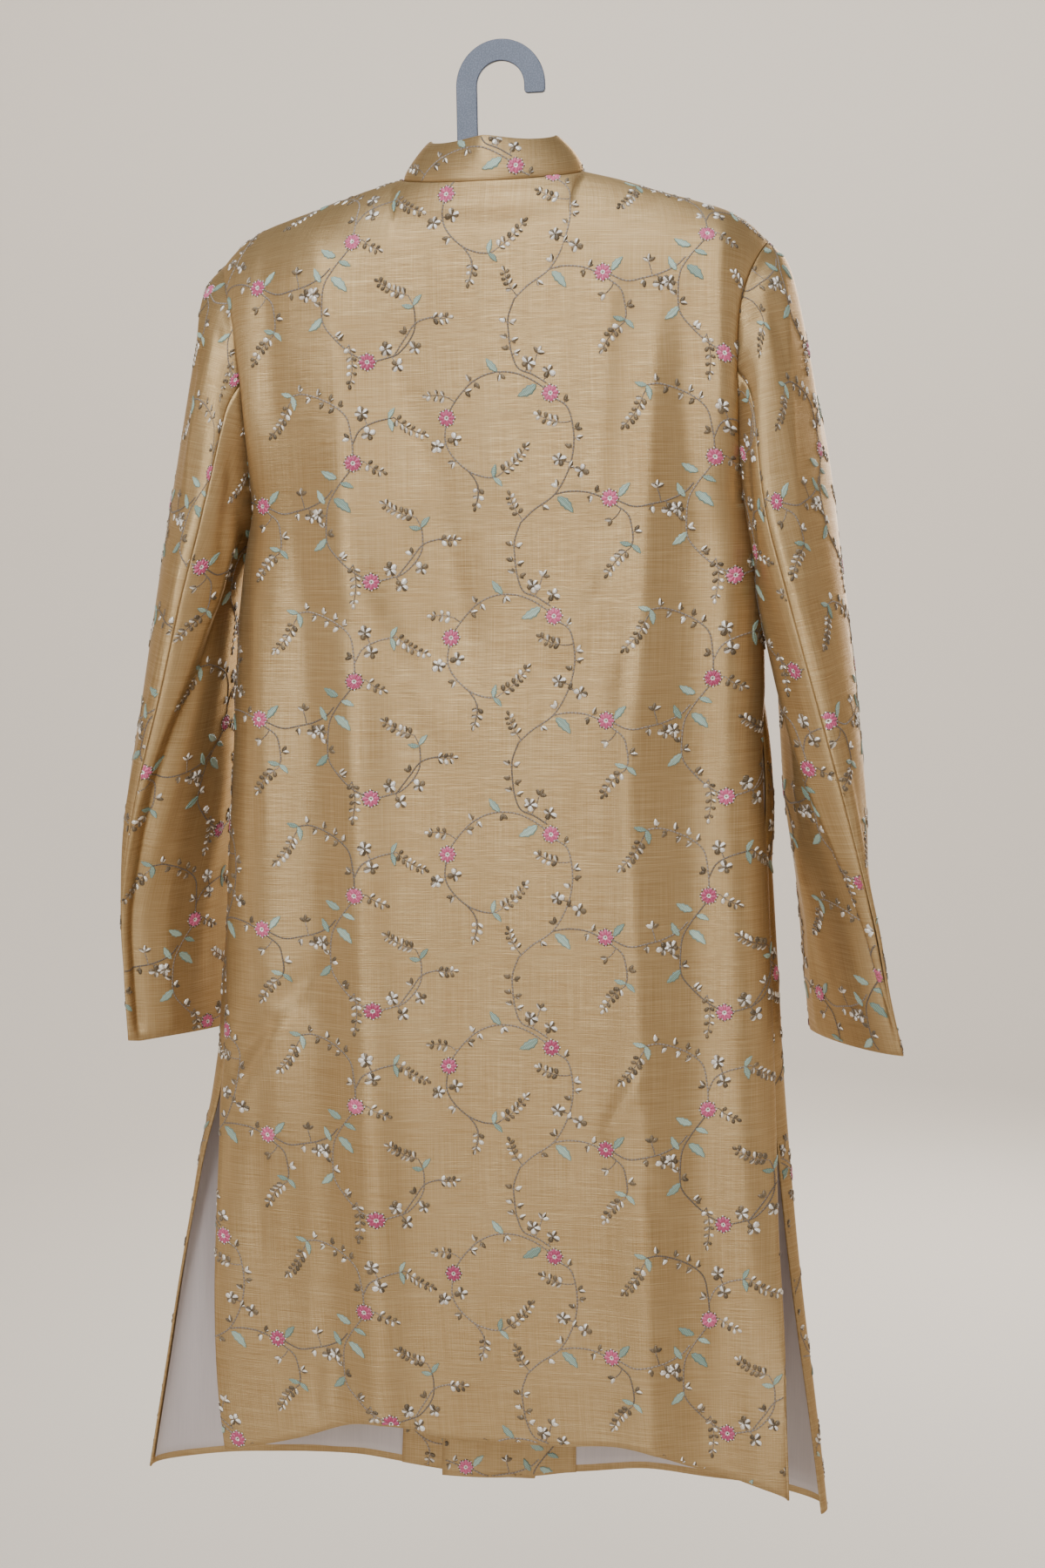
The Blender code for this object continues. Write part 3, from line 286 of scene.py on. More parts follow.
# pressed edges: their widths to the left and right, depth and softness, then (z, x) places on their line
BACK_PRESSES = (
    ((0.04, 0.024, 0.0052, 0.0015), (-0.12, -0.152), (-0.21, -0.129), (-0.29, -0.124), (-0.46, -0.121)),
    ((0.03, 0.05, 0.0062, 0.0012), (-0.36, -0.122), (-0.65, -0.117), (-0.92, -0.1115), (-1.12, -0.1105),
     (-1.45, -0.11)),
    ((0.1, 0.05, 0.0045, 0.004), (-0.74, -0.118), (-0.92, -0.114), (-1.12, -0.1105), (-1.4, -0.11)),
    ((0.045, 0.012, 0.0032, 0.002), (-0.15, 0.098), (-0.235, 0.09), (-0.38, 0.082)),
    ((0.016, 0.022, 0.0038, 0.0025), (-0.18, 0.132), (-0.29, 0.125), (-0.42, 0.118), (-0.58, 0.108)),
    ((0.045, 0.016, 0.0052, 0.001), (-0.4, 0.101), (-0.61, 0.1036), (-0.83, 0.112), (-1.13, 0.1175),
     (-1.3, 0.119)),
    ((0.009, 0.011, 0.0034, 0.004), (-0.12, 0.18), (-0.31, 0.178)),
    ((0.014, 0.013, -0.0032, 0.006), (-0.12, -0.19), (-0.3, -0.184)),
    ((0.036, 0.045, -0.0066, 0.007), (-0.165, -0.096), (-0.25, -0.081), (-0.34, -0.049), (-0.52, -0.018)),
    ((0.02, 0.02, 0.0022, 0.006), (-0.3, -0.215), (-0.5, -0.214), (-0.8, -0.222)),
    ((0.016, 0.016, 0.0026, 0.008), (-0.33, 0.178), (-0.42, 0.187), (-0.54, 0.192)),
    ((0.016, 0.014, 0.0024, 0.006), (-0.6, 0.186), (-0.86, 0.196), (-1.2, 0.205)),
    ((0.045, 0.03, 0.0018, 0.012), (-0.56, 0.01), (-0.8, 0.024), (-1.18, 0.04)),
)
# places are (run, degrees): the turned side, the valley under the near layer, and that layer's edge
SLEEVE_PRESSES = {
    -1: (
        ((26, 13, 0.0036, 2), (0.03, 84), (0.1, 74), (0.23, 44), (0.37, 22), (0.46, 10), (0.7, 4)),
        ((17, 7, -0.0085, 1.5), (0.1, 296), (0.38, 301), (0.5, 314), (0.57, 329), (0.63, 336), (0.73, 331),
         (1.25, 328)),
        ((5, 26, 0.0036, 1.5), (0.18, 312), (0.42, 316), (0.5, 329), (0.57, 343), (0.66, 352), (0.8, 356)),
        ((34, 14, 0.004, 3), (0.66, 304), (0.8, 296), (1.25, 292)),
    ),
    1: (
        ((24, 12, 0.0042, 2), (0.03, 82), (0.13, 66), (0.22, 58), (0.37, 40), (0.47, 24), (0.61, 11),
         (0.95, 2)),
        ((16, 6, -0.0075, 1.5), (0.28, 274), (0.47, 287), (0.58, 298), (0.65, 308), (0.72, 318),
         (0.81, 328), (1, 344)),
        ((5, 22, 0.0036, 1.5), (0.3, 290), (0.47, 302), (0.58, 312), (0.65, 322), (0.72, 331), (0.81, 341),
         (0.98, 352)),
        ((13, 14, 0.0034, 2.5), (0.52, 304), (0.68, 284), (0.76, 258), (0.9, 243), (1.2, 238)),
    ),
}
# the linings' loose folds: place across from 0 to 1, width, depth in millimetres, and lean
LINING_FOLDS = (
    (0.16, 0.010, 3.2, 0.10), (0.36, 0.014, 3.8, -0.05), (0.58, 0.011, 3.0, 0.06), (0.80, 0.013, 3.4, 0.0),
)
# the sleeves' pieces: their first and last angle, and where their embroidery starts
SLEEVE_PIECES = {
    -1: (("top", 0, 198, (40, 310)), ("under", 198, 360, (-75, 180))),
    1: (("top", 0, 198, (-100, 315)), ("under", 198, 360, (-30, 210))),
}


def ease(t):
    t = np.clip(t, 0.0, 1.0)
    return t * t * (3 - 2 * t)


def fade(t, share):
    """1 in the middle of a run from 0 to 1, and down to 0 over a share of it at each end."""
    return ease(t / share) * ease((1 - t) / share)


def quarter_round(t):
    return np.sqrt(1 - (1 - np.clip(t, 0.0, 1.0)) ** 2)


def bulge(u):
    return (1 - np.clip(np.abs(u), 0.0, 1.0) ** SECTION_POWER) ** (1 / SECTION_POWER)


def round_angles(count):
    return 2 * math.pi * np.arange(count) / count


def unit(vectors):
    vectors = np.asarray(vectors, float)
    return vectors / np.linalg.norm(vectors, axis=-1, keepdims=True)


def stack(x, y, z):
    return np.stack(np.broadcast_arrays(x, y, z), axis=-1)


def fold_lift(folds, x, z):
    total = 0.0
    for top_x, hem_x, width, depth, top_z, full_z in folds:
        middle = top_x + (hem_x - top_x) * np.clip((z - top_z) / (HEM_Z - top_z), 0.0, 1.0)
        strength = ease((z - top_z) / (full_z - top_z))
        total = total + depth * strength * np.exp(-(((x - middle) / width) ** 2))
    return total


def crease_lift(creases, x, z):
    """How far the creases lift the cloth: each fades out towards its two ends."""
    total = np.zeros(np.broadcast(x, z).shape)
    for x0, z0, x1, z1, width, depth, bow in creases:
        length = math.hypot(x1 - x0, z1 - z0)
        along_x, along_z = (x1 - x0) / length, (z1 - z0) / length
        run = ((x - x0) * along_x + (z - z0) * along_z) / length
        off = (x - x0) * along_z - (z - z0) * along_x - bow * np.sin(math.pi * np.clip(run, 0.0, 1.0))
        total += depth * fade(run, 0.25) * np.exp(-((off / width) ** 2))
    return total


def sleeve_crease_lift(degrees, runs):
    total = np.zeros(degrees.shape)
    for angle0, run0, angle1, run1, width, depth, bow in SLEEVE_CREASES:
        t = (runs - run0) / (run1 - run0)
        share = np.clip(t, 0.0, 1.0)
        middle = angle0 + (angle1 - angle0) * share + bow * np.sin(math.pi * share)
        total += depth * fade(t, 0.3) * np.exp(-(((degrees - middle) / width) ** 2))
    return total


def press_lift(presses, along, place, turn=None):
    """How far pressed edges lift the cloth; each starts and ends softly."""
    total = np.zeros(np.broadcast(along, place).shape)
    for (left, right, depth, soft), *line in presses:
        runs, middles = np.array(line).T
        order = np.argsort(runs)
        off = place - np.interp(along, runs[order], middles[order])
        if turn:
            off = (off + turn / 2) % turn - turn / 2
        t = (along - runs[0]) / (runs[-1] - runs[0])
        width = np.where(off < 0, left, right)
        total += depth * fade(t, 0.2) * np.exp(-(np.sqrt(off**2 + soft**2) - soft) / width)
    return total


def ripple(x, z, seed, size, depth):
    """A soft unevenness of the cloth made of a few long waves."""
    chance = np.random.default_rng(seed)
    total = np.zeros(np.broadcast(x, z).shape)
    for _ in range(9):
        angle = chance.normal(0.0, 0.5)
        length = size * chance.uniform(0.6, 1.8)
        phase = chance.uniform(0.0, 2 * math.pi)
        total += np.sin(2 * math.pi * (x * math.cos(angle) + z * math.sin(angle) * 0.6) / length + phase)
    return total / 9 * depth * 2


# ---------------------------------------------------------------- grids
ARM_ROWS = 50
SIDE_ROWS = 74
SKIRT_ROWS = 58
SIDE_COLUMNS = 58  # from a side seam to the neck's width
NECK_COLUMNS = 18  # over half the neckline
LAP_EXTRA = 6
SLEEVE_ROWS = 100
SLEEVE_COLUMNS = 136  # all round
COLLAR_ROWS = 16
SKIRT_TOP = ARM_ROWS + SIDE_ROWS
FACING_COLUMN = SIDE_COLUMNS + round(NECK_COLUMNS / 3)
POCKET_COLUMN = 5

ARM_DROPS = (1 - np.cos(math.pi * np.arange(ARM_ROWS + 1) / ARM_ROWS))[:, None] / 2
SIDE_LEVELS = UNDERARM_Z + (SLIT_TOP_Z - UNDERARM_Z) * np.arange(1, SIDE_ROWS + 1)[:, None] / SIDE_ROWS
SKIRT_DROPS = np.arange(1, SKIRT_ROWS + 1)[:, None] / SKIRT_ROWS
# places from a side seam (1) to the neck's width, evenly spaced round the section
SECTION_TURN = math.acos((NECK_HALF / SHOULDER_HALF) ** (SECTION_POWER / 2))
SIDE_SHARES = np.cos(SECTION_TURN * np.arange(SIDE_COLUMNS) / SIDE_COLUMNS) ** (2 / SECTION_POWER)
NECK_TURNS = math.pi / 2 * np.arange(NECK_COLUMNS + 1) / NECK_COLUMNS
HALF_SHARES = np.concatenate([SIDE_SHARES, NECK_HALF / SHOULDER_HALF * np.cos(NECK_TURNS[:-1])])
BACK_SHARES = np.concatenate([-HALF_SHARES, [0.0], HALF_SHARES[::-1]])
# distances from the centre line, from the side seam to past the centre, at the shoulder's width
NECK_OUTS = np.append(NECK_HALF * np.cos(NECK_TURNS[:-1]), 0.0)
FRONT_OUTS = np.concatenate([SHOULDER_HALF * SIDE_SHARES, NECK_OUTS, -NECK_OUTS[-2 : -2 - LAP_EXTRA : -1]])


# ---------------------------------------------------------------- body panels and sleeves
def neckline_top(out, drop, neck_y):
    """Height and depth of a panel's top edge at a distance from its middle."""
    inside = np.sqrt(np.clip(1 - (np.clip(out, 0.0, None) / NECK_HALF) ** 2, 0.0, 1.0))
    z = np.where(out < NECK_HALF, NECK_Z - drop * inside, SHOULDER.z(out))
    return z, np.where(out < NECK_HALF, neck_y * inside, SHOULDER.y(out))


def edge_line(slit, side, z):
    """A panel's edge: the side seam and then its slit, with the pocket's mouth a little open."""
    sideways, forward = MOUTH_FRONT if slit is FRONT_SLIT else MOUTH_BACK
    mouth = (z - POCKET_TOP_Z) / (POCKET_BOTTOM_Z - POCKET_TOP_Z)
    gape = np.sin(math.pi * np.clip(mouth, 0.0, 1.0))
    ends = []
    for name in (NAMES[side] + "_x", NAMES[side] + "_y"):
        ends.append(np.where(z >= SLIT_TOP_Z, getattr(SIDE_SEAM, name)(z), getattr(slit, name)(z)))
    return ends[0] + side * sideways * gape, ends[1] + forward * gape


def armhole_depth(name, u, drop):
    seam, inner = getattr(ARMHOLE, name)(drop), getattr(INNER_ARMHOLE, name)(drop)
    return inner + (seam - inner) * ease((np.abs(u) - 1 + UNDERARM_SHARE) / UNDERARM_SHARE)


def back_arm(u, drop):
    top_z, top_y = neckline_top(np.abs(u) * SHOULDER_HALF, *BACK_NECK)
    z = top_z + (UNDERARM_Z - top_z) * drop
    x = MIDDLE.back(z) + u * ARMHOLE.half(drop)
    edge = armhole_depth("back", u, drop)
    depth = edge + (DEPTH.back(z) - edge) * bulge(u)
    depth = depth + fold_lift(BACK_FOLDS, x, z) * bulge(u) ** (1 - drop / 2)
    turn = quarter_round((top_z - z) / SHOULDER_ROUND)
    return stack(x, top_y + (-depth - top_y) * turn, z)


def back_skirt(u, z):
    left_x, left_y = edge_line(BACK_SLIT, -1, z)
    right_x, right_y = edge_line(BACK_SLIT, 1, z)
    x = left_x + (right_x - left_x) * (u + 1) / 2
    edge_y = left_y + (right_y - left_y) * (u + 1) / 2
    folds = fold_lift(BACK_FOLDS, x, z) * bulge(u) ** 0.5
    return stack(x, edge_y + (-DEPTH.back(z) - edge_y) * bulge(u) - folds, z)


def front_distance(out, width, z):
    growth = 1 + OVERLAP_GROWTH * np.clip((UNDERARM_Z - z) / (UNDERARM_Z - HEM_Z), 0.0, None)
    lap = OVERLAP * growth
    wide = lap + (out - OVERLAP) * (width - lap) / (SHOULDER_HALF - OVERLAP)
    return np.where(out <= OVERLAP, out * growth, wide)


def lap_drop(side, distance):
    """How far the right front sinks where it lies under the left one."""
    if side < 0:
        return 0.0 * distance
    under = WALL + GAP + FACING_WALL + GAP
    return under * (1 - ease((distance - OVERLAP * (1 + OVERLAP_GROWTH)) / LAP_EASE))


def front_arm(side, out, drop):
    top_z, _ = neckline_top(out, *FRONT_NECK)
    z = top_z + (UNDERARM_Z - top_z) * drop
    middle = MIDDLE.front(z)
    width = ARMHOLE.half(drop) + side * (MIDDLE.back(z) - middle)
    distance = front_distance(out, width, z)
    x = middle + side * distance
    share = bulge(distance / width)
    edge = armhole_depth("front", distance / width, drop)
    depth = edge + (DEPTH.front(z) - edge) * share
    depth = depth + fold_lift(FRONT_FOLDS[side], x, z) * share ** (1 - 0.5 * drop)
    covered_z, covered_y = neckline_top(np.abs(out), *FRONT_NECK)
    below = neckline_top(NECK_HALF, *FRONT_NECK)[0] - covered_z
    turn = quarter_round((covered_z - z) / np.clip(SHOULDER_ROUND - below, NECK_ROUND, SHOULDER_ROUND))
    return stack(x, covered_y + (depth - covered_y) * turn - lap_drop(side, distance), z)


def front_skirt(side, out, z):
    middle = MIDDLE.front(z)
    edge_x, edge_y = edge_line(FRONT_SLIT, side, z)
    width = side * (edge_x - middle)
    distance = front_distance(out, width, z)
    share = bulge(distance / width)
    reach = getattr(DEPTH, "reach_" + NAMES[side])(z)
    x = middle + side * (distance + reach * np.sin(math.pi * share))
    depth = DEPTH.front(z) + fold_lift(FRONT_FOLDS[side], x, z) * share**0.5
    return stack(x, edge_y + (depth - edge_y) * share - lap_drop(side, distance), z)


def panel_points(arm, skirt, hem, columns, shares):
    """A panel's grid, carried past its underarm in one smooth curve, all but its seam."""
    levels = SLIT_TOP_Z + (hem.z(shares) - SLIT_TOP_Z) * SKIRT_DROPS
    points = np.concatenate([arm(columns, ARM_DROPS), skirt(columns, SIDE_LEVELS), skirt(columns, levels)])
    first, last = ARM_ROWS - UNDERARM_ABOVE, ARM_ROWS + UNDERARM_BELOW
    z = points[..., 2:]
    span = z[last] - z[first]
    slope_in = (points[first] - points[first - 1]) / (z[first] - z[first - 1]) * span
    slope_out = (points[last + 1] - points[last]) / (z[last + 1] - z[last]) * span
    t = (z[first : last + 1] - z[first]) / span
    smooth = (2 * t**3 - 3 * t**2 + 1) * points[first] + (t**3 - 2 * t**2 + t) * slope_in
    smooth = smooth + (3 * t**2 - 2 * t**3) * points[last] + (t**3 - t**2) * slope_out
    within = ease((1 - np.abs(shares)) / SEAM_FADE)[..., None] * np.array([1.0, 1.0, 0.0])
    points[first : last + 1] += (smooth - points[first : last + 1]) * within
    return points


def sleeve_ring(side, run, angle):
    """Points of a sleeve without its fit to the armhole."""
    x, y, z, flat, thick, turn, lift = [column(run) for column in SLEEVES[side]]
    turn = np.radians(turn)
    along = np.cos(angle)
    across = np.sin(angle) * np.abs(np.sin(angle)) ** (SLEEVE_EDGE * ease(run * 2))
    out_x = x + flat * np.sin(turn) * along + thick * np.cos(turn) * across
    y = y - flat * np.cos(turn) * along + thick * np.sin(turn) * across
    return stack(side * out_x, y, z + lift * across)


def sleeve_points(side, run, angle):
    drop = (1 - np.sin(angle)) / 2
    behind = back_arm(np.full_like(angle, side), drop)
    before = front_arm(side, np.full_like(angle, SHOULDER_HALF), drop)
    armhole = np.where((np.cos(angle) >= 0)[..., None], behind, before)
    fit = (1 - np.clip(run / SLEEVE_FIT, 0.0, 1.0)) ** 2
    points = sleeve_ring(side, run, angle)
    points = points + fit[..., None] * (armhole - sleeve_ring(side, run * 0, angle))
    points[..., 0] += side * GAP
    return points


# ---------------------------------------------------------------- sheets
def outward(points, flip):
    normals = np.cross(np.gradient(points, axis=0), np.gradient(points, axis=1))
    return unit(normals * (-1 if flip else 1))


def arc(points, axis=0):
    """How far along its row, column or line each point lies."""
    steps = np.linalg.norm(np.diff(points, axis=axis), axis=-1)
    start = np.zeros_like(np.take(steps, [0], axis=axis))
    return np.concatenate([start, np.cumsum(steps, axis=axis)], axis=axis)


def crossing(lines, values):
    """Where each rising line reaches its value, as a fractional index."""
    i = np.clip((lines < values[:, None]).sum(axis=1) - 1, 0, lines.shape[1] - 2)
    row = np.arange(len(values))
    low, high = lines[row, i], lines[row, i + 1]
    return i + (values - low) / np.maximum(high - low, 1e-9)


def cell(place, count):
    """The cell that a fractional index lies in, and how far it is through it."""
    i = np.clip(place.astype(int), 0, count - 2)
    return i, np.clip(place - i, 0.0, 1.0)[:, None]


class Sheet:
    """A grid of points with outward normals and cloth coordinates across and down, in metres."""

    def __init__(self, points, normals, across, down, sign):
        self.points, self.normals = points, normals
        self.across, self.down, self.sign = across, down, sign

    def lift(self, amount):
        """Move the points along the normals and work the normals out again."""
        self.points = self.points + self.normals * amount[..., None]
        fresh = outward(self.points, False)
        self.normals = fresh * np.sign((fresh * self.normals).sum(axis=2, keepdims=True))

    def lay(self, across, down, lift):
        """Points on the sheet at cloth coordinates, lifted off it, and whether they are inside it."""
        order = slice(None, None, self.sign)
        grid_across, grid_down = self.across[:, order], self.down[:, order]
        points, normals = self.points[:, order], self.normals[:, order]
        rows, columns = grid_across.shape
        r = np.full(len(across), rows / 2)
        for _ in range(4):
            i, f = cell(r, rows)
            c = crossing(grid_across[i] * (1 - f) + grid_across[i + 1] * f, across)
            j, g = cell(c, columns)
            r = crossing(grid_down[:, j].T * (1 - g) + grid_down[:, j + 1].T * g, down)
        inside = (r >= 0.2) & (r <= rows - 1.2) & (c >= 0.2) & (c <= columns - 1.2)
        i, f = cell(r, rows)

        def blend(grid):
            top = grid[i, j] * (1 - g) + grid[i, j + 1] * g
            return top * (1 - f) + (grid[i + 1, j] * (1 - g) + grid[i + 1, j + 1] * g) * f

        return blend(points) + unit(blend(normals)) * lift[:, None], inside


def new_sheet(points, flip, row, column, down_at_row=0.0):
    """A sheet whose cloth coordinates are counted from a row and a column of its points."""
    normals = outward(points, flip)
    down, across = arc(points, 0), arc(points, 1)
    i, j = points.shape[0] // 2, points.shape[1] // 2
    turn = np.cross(points[i, j + 1] - points[i, j], points[i - 1, j] - points[i, j])
    sign = 1 if np.dot(turn, normals[i, j]) > 0 else -1
    across = sign * (across - across[:, column : column + 1])
    return Sheet(points, normals, across, down - down[row : row + 1] + down_at_row, sign)


# ---------------------------------------------------------------- materials
def srgb(red, green, blue):
    """A colour given in 0 to 255 as the linear values that shaders take."""
    values = [channel / 255 for channel in (red, green, blue)]
    linear = [v / 12.92 if v <= 0.04045 else ((v + 0.055) / 1.055) ** 2.4 for v in values]
    return (*linear, 1.0)


class Finish:
    """A Principled material under construction. An input is given a value or another node's output."""

    def __init__(self, name, colour, roughness, metallic=0.0):
        self.material = bpy.data.materials.new(name)
        self.material.use_nodes = True
        self.tree = self.material.node_tree
        inputs = {"Base Color": srgb(*colour), "Roughness": roughness, "Metallic": metallic}
        self.set(inputs)

    def fill(self, node, inputs):
        for name, value in inputs.items():
            if isinstance(value, bpy.types.NodeSocket):
                self.tree.links.new(value, node.inputs[name])
            else:
                node.inputs[name].default_value = value

    def set(self, inputs):
        self.fill(self.tree.nodes["Principled BSDF"], inputs)
        return self.material

    def node(self, kind, output, inputs, **settings):
        made = self.tree.nodes.new("ShaderNode" + kind)
        for name, value in settings.items():
            setattr(made, name, value)
        self.fill(made, inputs)
        return made.outputs[output]

    def cloth_coordinates(self, across, down):
        """The cloth coordinates in metres, times a scale for each direction."""
        source = self.node("UVMap", "UV", {}, uv_map="UVMap")
        return self.node("Mapping", "Vector", {"Vector": source, "Scale": (across, down, 1.0)})

    def noise(self, vector, detail, rough, scale=1.0):
        inputs = {"Vector": vector, "Scale": scale, "Detail": detail, "Roughness": rough}
        return self.node("TexNoise", "Fac", inputs)

    def ramp(self, value, low, high, start=0.0, end=1.0):
        inputs = {"Value": value, "From Min": low, "From Max": high, "To Min": start, "To Max": end}
        return self.node("MapRange", "Result", inputs, interpolation_type="SMOOTHSTEP")

    def blend(self, *parts):
        """The sum of values, each times its share."""
        total = None
        for value, share in parts:
            scaled = self.node("Math", "Value", {0: value, 1: share}, operation="MULTIPLY")
            total = self.node("Math", "Value", {0: total, 1: scaled}, operation="ADD") if total else scaled
        return total

    def mix(self, share, dark, light):
        inputs = {"Factor": share, "A": srgb(*dark), "B": srgb(*light)}
        return self.node("Mix", "Result", inputs, data_type="RGBA")

    def bump(self, height, strength, distance):
        inputs = {"Strength": strength, "Distance": distance, "Height": height}
        self.set({"Normal": self.node("Bump", "Normal", inputs)})

    def brushed(self, amount):
        """Stretch the highlights across the cloth's threads."""
        tangent = self.node("Tangent", "Tangent", {}, direction_type="UV_MAP", uv_map="UVMap")
        self.set({"Tangent": tangent, "Anisotropic": amount, "Anisotropic Rotation": 0.25})


def raw_silk():
    """Slubbed silk: uneven weft threads across, finer warp threads down, and a soft sheen."""
    made = Finish("raw_silk", (186, 152, 98), 0.36, 0.64)
    weft = made.ramp(made.noise(made.cloth_coordinates(26.0, 2100.0), 2.0, 0.65), 0.32, 0.70)
    thick = made.ramp(made.noise(made.cloth_coordinates(5.0, 1250.0), 1.0, 0.5), 0.58, 0.72)
    ends = made.ramp(made.noise(made.cloth_coordinates(2100.0, 14.0), 2.0, 0.65), 0.32, 0.70)
    cloud = made.noise(made.cloth_coordinates(9.0, 5.0), 3.0, 0.5)
    weave = made.blend((weft, 0.46), (ends, 0.30), (thick, 0.24))
    shade = made.blend((weave, 0.75), (cloud, 0.25))
    made.bump(made.blend((weft, 0.56), (ends, 0.15), (thick, 0.36)), 0.40, 0.0004)
    made.brushed(0.72)
    return made.set(
        {
            "Base Color": made.mix(shade, (150, 115, 70), (209, 182, 138)),
            "Roughness": made.ramp(weave, 0.2, 0.9, 0.42, 0.32),
            "Specular IOR Level": 0.3,
            "Specular Tint": srgb(204, 182, 150),
            "Sheen Weight": 0.04,
            "Sheen Roughness": 0.45,
            "Sheen Tint": srgb(255, 232, 190),
        }
    )


def satin_lining():
    made = Finish("satin", (190, 178, 176), 0.33)
    thread = made.noise(made.cloth_coordinates(900.0, 25.0), 2.0, 0.5)
    cloud = made.noise(made.cloth_coordinates(26.0, 4.0), 2.0, 0.5)
    shade = made.blend((thread, 0.35), (cloud, 0.65))
    made.bump(thread, 0.12, 0.0002)
    made.brushed(0.5)
    colour = made.mix(shade, (172, 159, 158), (212, 200, 197))
    return made.set({"Base Color": colour, "Specular IOR Level": 0.55, "Sheen Weight": 0.15})


def thread_finish(name, dark, light, roughness, metallic):
    """Embroidery thread: stitches side by side, with a tone of its own for each motif."""
    made = Finish("thread_" + name, light, roughness, metallic)
    inputs = {"Vector": made.cloth_coordinates(1.0, 1.0), "Scale": 0.27, "Distortion": 0.6, "Detail": 1.0}
    stitch = made.node("TexWave", "Fac", inputs, bands_direction="X")
    tone = made.node("Attribute", "Fac", {}, attribute_name="tone")
    made.bump(stitch, 0.5, 0.00025)
    colour = made.mix(made.blend((stitch, 0.45), (tone, 0.55)), dark, light)
    return made.set({"Base Color": colour, "Specular IOR Level": 0.6, "Sheen Weight": 0.1})


def grained(name, base, roughness, scale, dark, light, bump, metallic=0.0, shade=None, rough=None):
    """A finely grained surface: shade and rough turn its noise into a colour share and a roughness."""
    made = Finish(name, base, roughness, metallic)
    place = made.node("TexCoord", "Object", {})
    fine = made.noise(place, 3.0, 0.6, scale)
    made.bump(fine, *bump)
    if rough:
        made.set({"Roughness": made.ramp(fine, *rough)})
    return made.set({"Base Color": made.mix(shade(made, place, fine) if shade else fine, dark, light)})


def speckles(made, place, fine):
    return made.blend((made.ramp(fine, 0.45, 0.62), 0.6), (made.noise(place, 2.0, 0.5, 60.0), 0.4))


def worn(made, place, fine):
    return made.ramp(fine, 0.35, 0.65)


# ---------------------------------------------------------------- meshes
def show(name, data):
    made = bpy.data.objects.new(name, data)
    bpy.context.scene.collection.objects.link(made)
    return made


def make_mesh(name, verts, faces, uv, materials, face_materials=None, tone=None):
    """A piece from arrays: faces is a list of index arrays, each with its own number of corners."""
    mesh = bpy.data.meshes.new(name)
    mesh.vertices.add(len(verts))
    mesh.vertices.foreach_set("co", np.asarray(verts, np.float32).ravel())
    corners = np.concatenate([part.ravel() for part in faces]).astype(np.int32)
    totals = np.concatenate([np.full(len(part), part.shape[1]) for part in faces]).astype(np.int32)
    mesh.loops.add(len(corners))
    mesh.loops.foreach_set("vertex_index", corners)
    mesh.polygons.add(len(totals))
    mesh.polygons.foreach_set("loop_start", (np.cumsum(totals) - totals).astype(np.int32))
    mesh.polygons.foreach_set("loop_total", totals)
    if face_materials is not None:
        mesh.polygons.foreach_set("material_index", face_materials.astype(np.int32))
    mesh.uv_layers.new(name="UVMap").data.foreach_set("uv", np.asarray(uv, np.float32)[corners].ravel())
    if tone is not None:
        shade = mesh.attributes.new("tone", "FLOAT", "POINT")
        shade.data.foreach_set("value", np.asarray(tone, np.float32))
    mesh.update(calc_edges=True)
    mesh.validate()
    mesh.shade_smooth()
    for material in materials:
        mesh.materials.append(material)
    made = show(name, mesh)
    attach(made, "root")
    return made


def grid_faces(rows, columns, closed=False, start=0):
    """Quads between the rows of a grid of points, closed round each row if asked."""
    index = start + np.arange(rows * columns).reshape(rows, columns)
    after = np.roll(index, -1, axis=1) if closed else index[:, 1:]
    here = index if closed else index[:, :-1]
    return np.stack([here[:-1], here[1:], after[1:], after[:-1]], axis=-1).reshape(-1, 4)


def wall(name, sheet, inner, flip, materials, lining_mask=None):
    """A closed cloth wall between a sheet and its inner grid, with softly rounded edges."""
    outer = sheet.points
    rows, columns = outer.shape[:2]
    size = rows * columns
    rim = [(0, j) for j in range(columns)] + [(i, columns - 1) for i in range(1, rows)]
    rim += [(rows - 1, j) for j in range(columns - 2, -1, -1)] + [(i, 0) for i in range(rows - 2, 0, -1)]
    rim = np.array(rim)
    beside = np.clip(rim, 1, [rows - 2, columns - 2])
    edge, edge_inner = outer[tuple(rim.T)], inner[tuple(rim.T)]
    away = unit(edge - outer[tuple(beside.T)] + 1e-9)
    thick = np.linalg.norm(edge - edge_inner, axis=1, keepdims=True)
    between = (edge + edge_inner) / 2 + away * thick * 0.30
    here = rim @ [columns, 1]
    there = np.roll(here, -1)
    mid = 2 * size + np.arange(len(rim))
    mid_next = np.roll(mid, -1)
    quads = grid_faces(rows, columns)
    side_out = np.stack([here, there, mid_next, mid], axis=1)
    side_in = np.stack([mid, mid_next, there + size, here + size], axis=1)
    parts = [quads, quads[:, ::-1] + size, side_out, side_in]
    if flip:
        parts = [part[:, ::-1] for part in parts]
    kinds = np.zeros(sum(len(part) for part in parts), int)
    if lining_mask is not None:
        kinds[len(quads) : 2 * len(quads)] = lining_mask.ravel()
    place = np.stack([sheet.across, sheet.down], axis=-1).reshape(-1, 2)
    verts = np.concatenate([outer.reshape(-1, 3), inner.reshape(-1, 3), between])
    return make_mesh(name, verts, parts, np.concatenate([place, place, place[here]]), materials, kinds)


